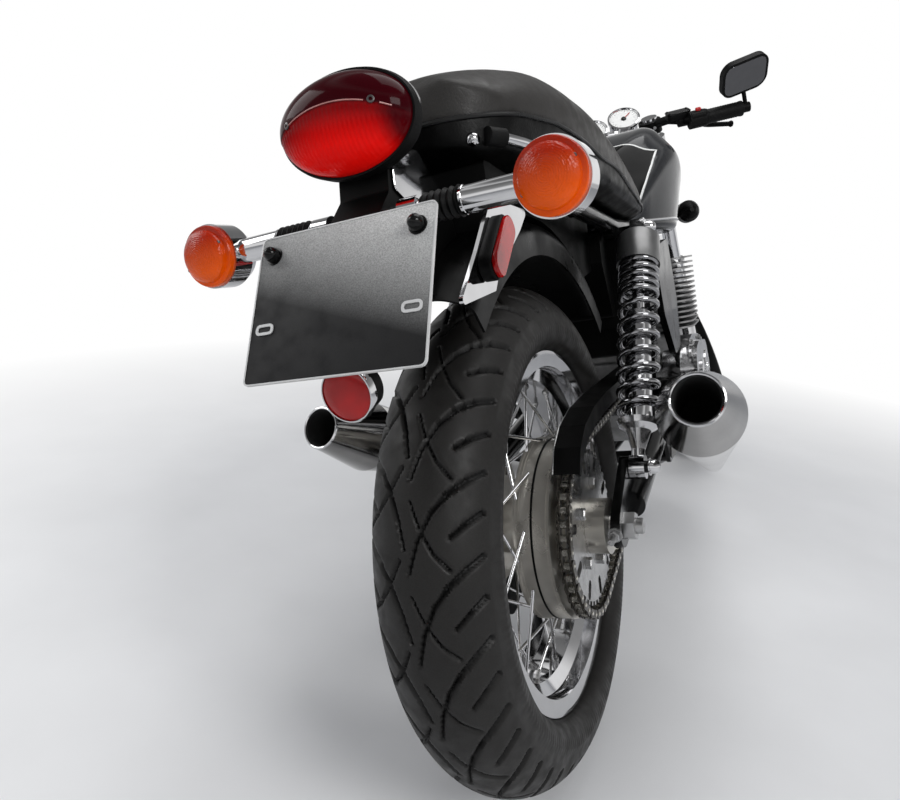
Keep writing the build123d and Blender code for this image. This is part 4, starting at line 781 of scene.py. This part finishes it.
# Number plate: a blank sheet with a light edge, nuts above and slots below
TILT = math.radians(27.87)
PLATE_UP = Vector((0, math.sin(TILT), math.cos(TILT)))
PLATE_OUT = PLATE_UP.cross(Vector((-1, 0, 0)))
PLATE_AT = Vector((0, -339.2, 651.5))
PLATE_X, PLATE_Z, PLATE_FACE, HOLE_X = 178, 140, 2.1, 73


def plate_point(x, up, out):
    """A point of the plate's plane, or in front of it."""
    return PLATE_AT + Vector((x, 0, 0)) + PLATE_UP * up + PLATE_OUT * out


def plate_face():
    """The sheet, with painted light and shade: dark at the lower left and light at the upper right."""
    outline = box((PLATE_X - 2, PLATE_Z - 2), 6)
    loops, shade = [], []
    levels = [(share, PLATE_FACE) for share in (0.004, 0.25, 0.5, 0.75, 1.0)] + [(1.0, 1.6), (0.004, 1.6)]
    for share, out in levels:
        loops.append([plate_point(point.x * share, point.y * share, out) for point in outline])
        for point in outline:
            # Painted light and shade: lighter towards the top and the right of the sheet
            shade.append(point.y * share / PLATE_Z * 0.8 + point.x * share / PLATE_X * 0.35 + 0.5)
    piece("plate_face", [rings(loops)], PLATE_PAINTED_LIGHT, sharp=60, shade=shade)


plate_face()
outer, inner = box((PLATE_X, PLATE_Z), 6), box((PLATE_X - 2.6, PLATE_Z - 2.6), 5)
piece("plate_edge", [rings([[plate_point(point.x, point.y, out) for point in loop] for loop, out in (
    (outer, 0.2), (outer, 2.6), (inner, 2.6), (inner, 0.2))], True)], PLATE_LIGHT)
PLATE_NUT = [(0, 8.4), (1.2, 8.4), (1.3, 6.8), (5, 6.8), (9, 5.6), (11.5, 3), (12.2, 0)]
piece("plate_nuts", [
    turned(plate_point(x, 50, PLATE_FACE), PLATE_OUT, PLATE_NUT, 24) for x in (-HOLE_X, HOLE_X)],
    GLOSS_BLACK)
slots = []
for x in (-HOLE_X, HOLE_X):
    loops = []
    for size, out in (((19, 10), 2.0), ((19, 10), 3.0), ((14, 5), 3.0), ((14, 5), 2.0)):
        loops.append([plate_point(x + point.x, point.y - 20, out) for point in box(size, size[1] * 0.49)])
    slots.append(rings(loops, True))
piece("plate_slots", slots, PLATE_LIGHT)

# Reflectors: red faces in black housings on the stays, and a round one below the plate
side_run = Vector((0, -0.76, -0.65)).normalized()
side_up = Vector((1, 0, 0)).cross(side_run)
SIDE_AT, ROUND_STEPS = (82.6, -200, 675), 48
housings, faces_red = [], []
for side in (-1, 1):
    at = (side * SIDE_AT[0], *SIDE_AT[1:])
    for made_of, size, bend, near, far, edge in (
        (housings, (77, 27.6), 13.6, 0, 13.5, 1.6), (faces_red, (73, 24.4), 11.8, 13.2, 18.8, 1.4),
    ):
        low, high = sorted((side * near, side * far))
        made_of.append(slab(box(size, bend), at, side_run, side_up, low, high, edge))
made = piece("side_reflectors", faces_red, RED_LENS)
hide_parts("red_reflectors")
piece("side_reflector_housings", housings, SATIN_BLACK)
ROUND_AT, ROUND_RUN = Vector((0, -346, 573)), Vector((0, -1, -0.12)).normalized()
piece("round_reflector", [turned(ROUND_AT, ROUND_RUN, [
    (0.4, 23), (6.8, 23), (8.4, 20), (9.4, 12), (9.8, 0)], ROUND_STEPS)], RED_LENS)
piece("round_reflector_ring", [rings([
    turned(ROUND_AT, ROUND_RUN, [(along, radius)], ROUND_STEPS)[0]
    for along, radius in ((0.3, 23.2), (0.3, 25), (6.5, 25), (8.2, 24.2), (8.2, 23.2))], True)],
    CHROME)

# Silencers: sooted bores and a rolled lip
OUT_AT, IN_AT = Vector((240.7, -85.1, 491.7)), Vector((185, 560, 238))
OUT_RUN = (OUT_AT - IN_AT).normalized()
piece("silencer_bores", mirrored([turned(OUT_AT, OUT_RUN, [
    (-129, 0), (-129, 25.7), (-1.2, 25.7), (-1.2, 24.4), (-126, 23.6), (-126, 0)], ROUND_STEPS)]),
    SOOT)
lip = []
side = OUT_RUN.cross(Vector((0, 0, 1))).normalized()
for index in range(ROUND_STEPS):
    turn = 2 * math.pi * index / ROUND_STEPS
    lip.append(OUT_AT - OUT_RUN * 0.6 + (side * math.cos(turn) + OUT_RUN.cross(side) * math.sin(turn)) * 27.4)
piece("silencer_lips", mirrored([tube(lip, 1.9, 8, True)]), CHROME)

# Engine: cap screws round the covers, and the round caps on them
COVER_FACE = 146
screws = []
# Columns: side, then circles as y, z, radius and the angles of their screws
for side, circles in (
    (1, [(905, 372, 72, (-75, -30, 15, 60, 85)), (800, 372, 84, (-90, -125)),
         (760, 390, 62, (95, 140, 185))]),
    (-1, [(905, 372, 80, (-80, -35, 10, 55, 95)), (780, 372, 64, (-100, 180, 140, 100))]),
):
    for y, z, radius, turns in circles:
        for turn in turns:
            angle = math.radians(turn)
            at = (side * COVER_FACE, y + radius * math.cos(angle), z + radius * math.sin(angle))
            screws.append(cap_screw(at, (side, 0, 0), 5.2, 5.6))
piece("engine_screws", screws, STEEL)
piece("cover_caps", [turned((160, 905, 372), (1, 0, 0), [
    (0, 40), (2.5, 40), (3.2, 38), (3.2, 31), (1.6, 30), (1.6, 12), (4, 11), (4, 0)], 48),
    turned((-160, 905, 372), (-1, 0, 0), [
        (0, 46), (2.5, 46), (3.2, 44), (3.2, 37), (1.6, 36), (1.6, 16), (4, 15), (4, 0)], 48),
    turned((160, 790, 385), (1, 0, 0), [(0, 20), (4, 20), (6, 17), (6, 9), (4.5, 8), (4.5, 0)], 36)],
    POLISHED)

# Rear axle and hub: chain adjusters, bolts of sprocket, disc and calliper, bands round the hub and a black ring
# between them that is painted shade in a groove
AXLE_Z, ADJUSTER_X = REAR_AXLE.z, 124
adjusters = []
for side in (-1, 1):
    adjusters.append(turned((side * ADJUSTER_X, -29.5, AXLE_Z), (0, -1, 0), [
        (0, 9), (3, 9), (3, 4), (26, 4), (26, 2.5)], 16))
    adjusters.append(hexagon((side * ADJUSTER_X, -33, AXLE_Z), (0, -1, 0), 14, 7))
    adjusters.append(turned((side * 152, 0, AXLE_Z), (side, 0, 0), [
        (0, 9.4), (1.2, 9.4), (1.2, 3), (0.4, 2), (0.4, 0)], 24))
piece("chain_adjusters", adjusters, STEEL)
bolts = []
# Columns: x, radius of the circle, how many, first angle, width and height of a head
for x, radius, count, first, wide, high in ((88.2, 54, 5, 18, 15, 7), (-62.2, 48, 6, 0, 12, 5)):
    for number in range(count):
        turn = math.radians(first + 360 / count * number)
        at = (x, radius * math.sin(turn), AXLE_Z + radius * math.cos(turn))
        bolts.append(hexagon(at, (x, 0, 0), wide, high))
piece("rear_wheel_bolts", bolts, STEEL, REAR_WHEEL)
CALLIPER_BOLTS = ((52, 230), (14, 210), (34, 262))
piece("calliper_bolts", [hexagon((-110, y, z), (-1, 0, 0), 13, 6) for y, z in CALLIPER_BOLTS], STEEL)
HUB_STEPS = 96
piece("hub_bands", [turned((x, 0, AXLE_Z), (1, 0, 0), [
    (-0.6, radius - 4), (-0.6, radius + 0.5), (0.6, radius + 0.5), (0.6, radius - 4)], HUB_STEPS)
    for x, radius in ((27, 116.8), (31, 116.7), (64, 115.2))], BRUSHED, REAR_WHEEL)
# A black ring between the bands, where a groove lies in shade: painted shade
piece("hub_groove_shade", [turned((47, 0, AXLE_Z), (1, 0, 0), [
    (-1.3, 112), (-1.3, 116.5), (1.3, 116.5), (1.3, 112)], HUB_STEPS)],
    SATIN_BLACK, REAR_WHEEL)

# Footrests: ribbed rubbers with domed ends
PEG = [(0, 12.2)] + [(3 + 4 * step, 15.2 if step % 2 else 13.4) for step in range(20)]
PEG += [(83, 15.6), (86, 12), (87, 0)]
piece("footrest_rubbers", mirrored([turned((157.5, 470, 382), (1, 0, 0), PEG, 28)]),
      GRIP)

# Handlebar: grips, switch housings, brake cylinder and lid, mirror glasses, lever ends and clamp screws
INNER, OUTER = Vector((156, -67, 1079)), Vector((272, -80, 1065))
BAR = (OUTER - INNER).normalized()
BAR_UP = (Vector((0, 0, 1)) - BAR * BAR.z).normalized()
BAR_AHEAD = BAR_UP.cross(BAR)
GRIP_LONG = (OUTER - INNER).length - 28
GRIP_LINE = [(0, 16.8), (0, 19.6), (3, 19.8), (4.5, 17.6)]
GRIP_LINE += [(6 + 3 * step, 17.9 if step % 2 else 17.1) for step in range(int((GRIP_LONG - 12) / 3))]
GRIP_LINE += [(GRIP_LONG - 4, 18.6), (GRIP_LONG, 18.2), (GRIP_LONG + 1, 16.8)]
piece("grip_rubbers", mirrored([turned(INNER + BAR * 33, BAR, GRIP_LINE, 32)]), GRIP, STEERED)
piece("switch_housings", mirrored([slab(
    box((39, 37), 12), INNER + BAR * 12 + BAR_UP * 1.5, BAR_AHEAD, BAR_UP, -19, 19, 2.5)]),
    SATIN_BLACK, STEERED)
CYLINDER_AT = INNER + BAR_AHEAD * 24 + BAR * -30 + BAR_UP * -2
piece("brake_cylinder", [
    turned(CYLINDER_AT, BAR, [(0, 8), (2, 14), (56, 15), (64, 12), (68, 7)], 24),
    slab(box((58, 30), 9), CYLINDER_AT + BAR_UP * 8 + BAR * 2, BAR, BAR_AHEAD, 0, 14, 2)],
    SATIN_BLACK, STEERED)
LID_AT = CYLINDER_AT + BAR_UP * 22 + BAR * 2
lid = [slab(box((60, 32), 9), LID_AT, BAR, BAR_AHEAD, 0, 4, 1)]
for x in (-24, 24):
    for y in (-10, 10):
        lid.append(cap_screw(LID_AT + BAR_UP * 4 + BAR * x + BAR_AHEAD * y, BAR_UP, 2.6, 1.6))
piece("brake_cylinder_lid", lid, GLOSS_BLACK, STEERED)
mirror_up = Vector((0, -0.34, 0.94)).normalized()
MIRROR_AT = OUTER + BAR * 16 + Vector((0, -12, 76))
piece("mirror_glasses", mirrored([slab(
    box((104, 74), 22), MIRROR_AT, (1, 0, 0), mirror_up, -1.2, 0.8, 0.5)]),
    MIRROR_GLASS, STEERED)
piece("stop_switch", [slab(box((13, 10), 3), INNER + BAR * 15 + BAR_UP * 20, BAR, BAR_AHEAD, 0, 7, 1.2)],
      RED_PLASTIC, STEERED)
piece("lever_ends", mirrored([turned(INNER + Vector((112, 32, -58)), (1, -0.25, -0.28), [
    (-6, 3), (-4.5, 6.5), (0, 8.4), (4.5, 6.5), (6, 3)], 20)]), SATIN_BLACK, STEERED)
piece("clamp_screws", mirrored([cap_screw((95, 58.4 - 28.5, 1066), (0, -1, 0), 4, 4)]),
      STEEL, STEERED)

# Gauges: white faces with marks, a hub and a needle each
FACE_DIR = Vector((0, -0.42, 0.91)).normalized()
FACE_SIDE = Vector((1, 0, 0))
FACE_UP = FACE_DIR.cross(FACE_SIDE)
faces_white, marks, needles, hubs = [], [], [], []
for side in (-1, 1):
    centre = Vector((46 * side, 112, 1092))
    faces_white.append(turned(centre, FACE_DIR, [(3.1, 36.8), (3.6, 36.8), (3.6, 0)], 48))
    for tick in range(21):
        turn = math.radians(-140 + 14 * tick)
        way = FACE_UP * math.cos(turn) + FACE_SIDE * math.sin(turn)
        long = 7.0 if tick % 2 == 0 else 4.0
        marks.append(slab(box((0.9, long), 0.2), centre + way * (34 - long / 2) + FACE_DIR * 3.6,
                          way.cross(FACE_DIR) * -1, way, 0, 0.35, 0.08))
    way = FACE_UP * math.cos(math.radians(-118 if side < 0 else 60)) + FACE_SIDE * math.sin(math.radians(60))
    needles.append(tube([centre + FACE_DIR * 5.2, centre + FACE_DIR * 5.2 + way.normalized() * 25], 1.1, 8))
    hubs.append(turned(centre, FACE_DIR, [(3.6, 7), (5.5, 7), (6.4, 5), (6.6, 0)], 24))
piece("gauge_faces", faces_white, DIAL_WHITE, STEERED)
piece("gauge_marks", marks + hubs, GLOSS_BLACK, STEERED)
piece("gauge_needles", needles, RED_PLASTIC, STEERED)


# Seat: a padded cover made from the seat's solid by a cloth simulation, with piping round its lower edge
SEAT_VOXEL, SEAT_INSET, SEAT_SWELL, SEAT_FRAMES, SEAT_SOFTER = 0.006, 0.0040, 0.0065, 14, 26
SEAT_PRESSURE, SEAT_FADE = 4.0, 5
# The rear is rounded in plan: its y in the middle, how far it goes forwards at the half width, the most
# of that half width that counts, and the power that the bow follows
SEAT_REAR, SEAT_ROUND, SEAT_HALF, SEAT_MOST, SEAT_BOW = -176.0, 48.0, 90, 1.2, 3
# Columns: y and height of the cushion's lower edge, where the dark base begins; above it the cover is painted
# lighter as a painted sheen
SEAT_EDGE = [(-176, 806), (-99, 808), (-31, 806), (0, 802), (54, 794), (121, 781), (179, 777), (216, 773),
             (306, 751), (400, 737), (548, 731)]


def edge_height(y):
    """Height of the cushion's lower edge at a place along the machine."""
    for (low, first), (high, last) in zip(SEAT_EDGE, SEAT_EDGE[1:]):
        if y <= high:
            return first + (last - first) * max(0.0, y - low) / (high - low)
    return SEAT_EDGE[-1][1]


def applied(made):
    """The object's mesh with its modifiers applied, which are then taken off."""
    ready = bpy.data.meshes.new_from_object(made.evaluated_get(bpy.context.evaluated_depsgraph_get()))
    made.modifiers.clear()
    made.data = ready


def seat_cover():
    """The cushion, blown up a little inside its own solid's space."""
    cover = bpy.data.objects.new("seat_cover", NODES["seat"].data.copy())
    bpy.context.scene.collection.objects.link(cover)
    remesh = cover.modifiers.new("remesh", "REMESH")
    remesh.mode = "VOXEL"
    remesh.voxel_size = SEAT_VOXEL
    applied(cover)
    mesh = cover.data
    start = [vertex.co.copy() for vertex in mesh.vertices]
    work = bmesh.new()
    work.from_mesh(mesh)
    work.normal_update()
    for vertex in work.verts:
        vertex.co -= vertex.normal * SEAT_INSET
    work.to_mesh(mesh)
    work.free()
    cloth = cover.modifiers.new("cloth", "CLOTH")
    cloth.settings.use_pressure = True
    cloth.settings.uniform_pressure_force = SEAT_PRESSURE
    cloth.settings.effector_weights.gravity = 0.0
    cloth.settings.quality = 4
    for number in range(1, SEAT_FRAMES + 1):
        bpy.context.scene.frame_set(number)
        bpy.context.view_layer.update()
    applied(cover)
    bpy.context.scene.frame_set(1)
    for vertex, before in zip(cover.data.vertices, start):
        moved = vertex.co - before
        if moved.length > SEAT_SWELL:
            vertex.co = before + moved.normalized() * SEAT_SWELL
    to_machine = (BIKE @ MM).inverted()
    for vertex in cover.data.vertices:
        place = to_machine @ vertex.co
        place.y = max(place.y, SEAT_REAR + SEAT_ROUND * min(SEAT_MOST, abs(place.x) / SEAT_HALF) ** SEAT_BOW)
        vertex.co = to_machine.inverted() @ place
    smooth = cover.modifiers.new("smooth", "SMOOTH")
    smooth.iterations = SEAT_SOFTER
    smooth.factor = 0.5
    applied(cover)
    mesh = cover.data
    mesh.materials.clear()
    mesh.materials.append(LEATHER_PAINTED_SHEEN)
    mesh.shade_smooth()
    # Painted sheen: the cover is lighter above the lower edge and near black below it
    shade = mesh.attributes.new("shade", "FLOAT", "POINT")
    values = []
    for vertex in mesh.vertices:
        place = to_machine @ vertex.co
        values.append(min(1.0, max(0.0, (place.z - edge_height(place.y)) / SEAT_FADE)))
    shade.data.foreach_set("value", values)
    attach(cover, CHASSIS)
    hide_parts("seat")
    return cover


cover = seat_cover()
cover_tree = surface_of([cover])
# The piping goes round the cushion's lower edge, from one side of the nose round the rear to the other
PIPING_FROM, PIPING_TURN, PIPING_BACK, PIPING_LIFT = 536, -60, 110, 0.8
SIDE_STEPS, REAR_STEPS, FAR_OUT = 60, 45, 300
line = []
for step in range(SIDE_STEPS):
    y = PIPING_FROM - (PIPING_FROM - PIPING_TURN) * step / (SIDE_STEPS - 1)
    line.append(laid_on(cover_tree, (FAR_OUT, y, edge_height(y)), (-1, 0, 0), PIPING_LIFT))
for step in range(1, REAR_STEPS + 1):
    turn = math.pi * step / REAR_STEPS
    away = Vector((math.cos(turn), -math.sin(turn), 0))
    level = edge_height(PIPING_TURN - PIPING_BACK * math.sin(turn))
    line.append(laid_on(cover_tree, Vector((0, PIPING_TURN, level)) + away * FAR_OUT, -away, PIPING_LIFT))
line += [Vector((-point.x, point.y, point.z)) for point in reversed(line[:SIDE_STEPS]) if point]
piece("seat_piping", [tube([point for point in line if point], 2.4, 8)], PIPING_BLACK)

# Under the cushion's rear: a domed bolt and a short bright tube with a black end on each side
bolts, tubes, ends = [], [], []
for side in (-1, 1):
    at = laid_on(cover_tree, (66 * side, -400, 785), (0, 1, 0))
    bolts.append(turned(at + Vector((0, 2, 0)), (0.2 * side, -1, 0), [
        (0, 7.2), (2.5, 7.2), (5.2, 6.2), (7.4, 4.2), (8.6, 1.8), (8.8, 0)], 24))
    run = []
    for step in range(9):
        y = -140 + 12 * step
        run.append(laid_on(cover_tree, (FAR_OUT * side, y, 785 - 0.10 * (y + 140)), (-side, 0, 0), 3.0))
    tubes.append(tube(run, 6.0, 16))
    back = (run[0] - run[1]).normalized()
    ends.append(tube([run[0] + back * 9, run[0] - back * 12], 9.5, 20))
piece("seat_bolts", bolts, CHROME)
piece("seat_tubes", tubes, CHROME)
piece("seat_tube_ends", ends, GRIP)

# Tank: a dark panel round the seat's nose inside a white line, and a bright strip along the lower edge
tank_tree = surface_of([NODES["tank"]])
# Columns: y along the panel's side edge, half width there
PANEL_SIDE = [(576, 72), (612, 96), (645, 108), (675, 118), (707, 126)]
PANEL_FRONT, PANEL_BOW = 672.0, 35.0
LINE_SIDE, LINE_FRONT, LINE_SUNK = 24, 60, -2.6
STRIP_FROM, STRIP_TO, STRIP_Z, STRIP_STEPS = 600, 1064, 722, 60


def side_at(y):
    """Half width of the panel at its side edge."""
    for (low, first), (high, last) in zip(PANEL_SIDE, PANEL_SIDE[1:]):
        if y <= high:
            return first + (last - first) * (y - low) / (high - low)
    return PANEL_SIDE[-1][1]


def panel_point(share, depth, lift):
    """A point of the panel on the tank, across by the share and forwards by the depth."""
    rear, front = PANEL_SIDE[0][0], PANEL_SIDE[-1][0]
    edge_y = rear + (front - rear) * depth
    y = rear + (PANEL_FRONT + PANEL_BOW * share ** 4 - rear) * depth
    return laid_on(tank_tree, (side_at(edge_y) * share, y, 1100), (0, 0, -1), lift)


def panel():
    """The dark patch as a thin shell that follows the tank."""
    columns, rows = 40, 20
    upper, lower = ([[panel_point(-1 + 2 * step / columns, row / rows, lift) for step in range(columns + 1)]
                     for row in range(rows + 1)] for lift in (0.35, -1.5))
    loops = [up_row + list(reversed(low_row)) for up_row, low_row in zip(upper, lower)]
    piece("tank_panel", [rings(loops)], PANEL, sharp=50)
    edge = [panel_point(-1, row / LINE_SIDE, LINE_SUNK) for row in range(LINE_SIDE)]
    edge += [panel_point(-1 + 2 * step / LINE_FRONT, 1.0, LINE_SUNK) for step in range(LINE_FRONT + 1)]
    edge += [panel_point(1, row / LINE_SIDE, LINE_SUNK) for row in reversed(range(LINE_SIDE))]
    piece("tank_line", [tube(edge, 3.6, 12)], LINE_WHITE, sharp=60)


panel()
strip = []
for step in range(STRIP_STEPS):
    y = STRIP_FROM + (STRIP_TO - STRIP_FROM) * step / (STRIP_STEPS - 1)
    at = laid_on(tank_tree, (FAR_OUT, y, STRIP_Z), (-1, 0, 0), -0.6)
    if at:
        strip.append(at)
piece("tank_strip", mirrored([tube(strip, 3.4, 8)]), CHROME, sharp=60)

# Camera, where the photograph was taken from
CAMERA_AT = Vector((0.3223, -0.8110, 0.6388))
CAMERA_TURN = (81.1415, 9.32, 25.1431)
LENS = 27.0757
camera_data = bpy.data.cameras.new("camera")
camera_data.lens = LENS
camera_data.sensor_width = 36
camera_data.clip_start = 0.01
camera = bpy.data.objects.new("camera", camera_data)
camera_turn = Matrix.Identity(4)
for turn, axis in zip(reversed(CAMERA_TURN), "ZYX"):
    camera_turn = camera_turn @ Matrix.Rotation(math.radians(turn), 4, axis)
camera.matrix_world = BIKE @ Matrix.Translation(CAMERA_AT) @ camera_turn
bpy.context.scene.collection.objects.link(camera)
bpy.context.scene.camera = camera

# Floor, backdrop colour and lights
# The floor goes over to plain white between the two distances, for the camera alone
FLOOR_REACH, FADE_FROM, FADE_TO = 14.0, 0.9, 2.4
FLOOR_DARK, FLOOR_LIGHT = (0.70, 0.70, 0.70), (0.76, 0.76, 0.76)
floor_mesh = bpy.data.meshes.new("floor")
corners = [(x * FLOOR_REACH, y * FLOOR_REACH, -0.0005) for x, y in ((-1, -1), (1, -1), (1, 1), (-1, 1))]
floor_mesh.from_pydata(corners, [], [(0, 1, 2, 3)])
floor_material, tree, shader = node_tree("floor_pale")
grey = mixed(tree, remap(tree, noise(tree, 3), 0, 1), FLOOR_DARK, FLOOR_LIGHT)
tree.links.new(grey, shader.inputs["Base Color"])
shader.inputs["Roughness"].default_value = 0.6
distance = new_node(tree, "VectorMath", new_node(tree, "TexCoord").outputs["Object"], operation="LENGTH")
fade = remap(tree, distance.outputs["Value"], 0, 1, FADE_FROM, FADE_TO)
to_camera = new_node(tree, "LightPath").outputs["Is Camera Ray"]
share = new_node(tree, "Math", fade, to_camera, operation="MULTIPLY")
glow = new_node(tree, "Emission")
glow.inputs["Color"].default_value = (1, 1, 1, 1)
blend = new_node(tree, "MixShader", share.outputs[0], shader.outputs[0], glow.outputs[0])
tree.links.new(blend.outputs[0], tree.nodes["Material Output"].inputs["Surface"])
floor_mesh.materials.append(floor_material)
floor = bpy.data.objects.new("floor", floor_mesh)
bpy.context.scene.collection.objects.link(floor)

# Metal shows a white band round the horizon and a darker ceiling, as in a showroom. Columns: height, level
SKY_BANDS = ((0.02, 1.0), (0.22, 1.0), (0.38, 0.34), (0.70, 0.18), (0.78, 0.75), (0.86, 0.18))
world = bpy.data.worlds.new("studio")
bpy.context.scene.world = world
world.use_nodes = True
sky = world.node_tree
back = sky.nodes["Background"]
back.inputs["Strength"].default_value = 0.45
back.inputs["Color"].default_value = (0.9, 0.93, 1.0, 1)
seen = new_node(sky, "Background")
seen.inputs["Color"].default_value = (1, 1, 1, 1)
height = new_node(sky, "SeparateXYZ", new_node(sky, "TexCoord").outputs["Generated"])
bands = new_node(sky, "ValToRGB", height.outputs["Z"])
ramp = bands.color_ramp.elements
ramp[0].color, ramp[1].color = (0.55, 0.55, 0.56, 1), (0.16, 0.16, 0.17, 1)
for position, level in SKY_BANDS:
    ramp.new(position).color = (level, level, level, 1)
mirrored_sky = new_node(sky, "Background", bands.outputs["Color"])
path = new_node(sky, "LightPath")
behind = new_node(sky, "Math", path.outputs["Is Camera Ray"], path.outputs["Is Transmission Ray"],
                  operation="MAXIMUM")
reflected = new_node(sky, "MixShader", path.outputs["Is Glossy Ray"], back.outputs[0],
                     mirrored_sky.outputs[0])
choose = new_node(sky, "MixShader", behind.outputs[0], reflected.outputs[0], seen.outputs[0])
sky.links.new(choose.outputs[0], sky.nodes["World Output"].inputs["Surface"])


def area_light(name, at, target, size, power):
    """A soft box that looks at a target."""
    data = bpy.data.lights.new(name, "AREA")
    data.shape = "RECTANGLE"
    data.size, data.size_y = size
    data.energy = power
    light = bpy.data.objects.new(name, data)
    light.location = at
    light.rotation_euler = (Vector(target) - Vector(at)).to_track_quat("-Z", "Y").to_euler()
    bpy.context.scene.collection.objects.link(light)


area_light("key", (2.6, -2.2, 2.8), (0.0, -0.3, 0.5), (1.6, 1.2), 62)
area_light("fill", (-2.8, -1.4, 2.2), (0.0, -0.2, 0.5), (1.8, 1.4), 30)
area_light("top", (0.2, 0.2, 3.4), (0.0, 0.0, 0.4), (2.2, 2.2), 42)

bpy.context.scene.view_settings.view_transform = "Standard"
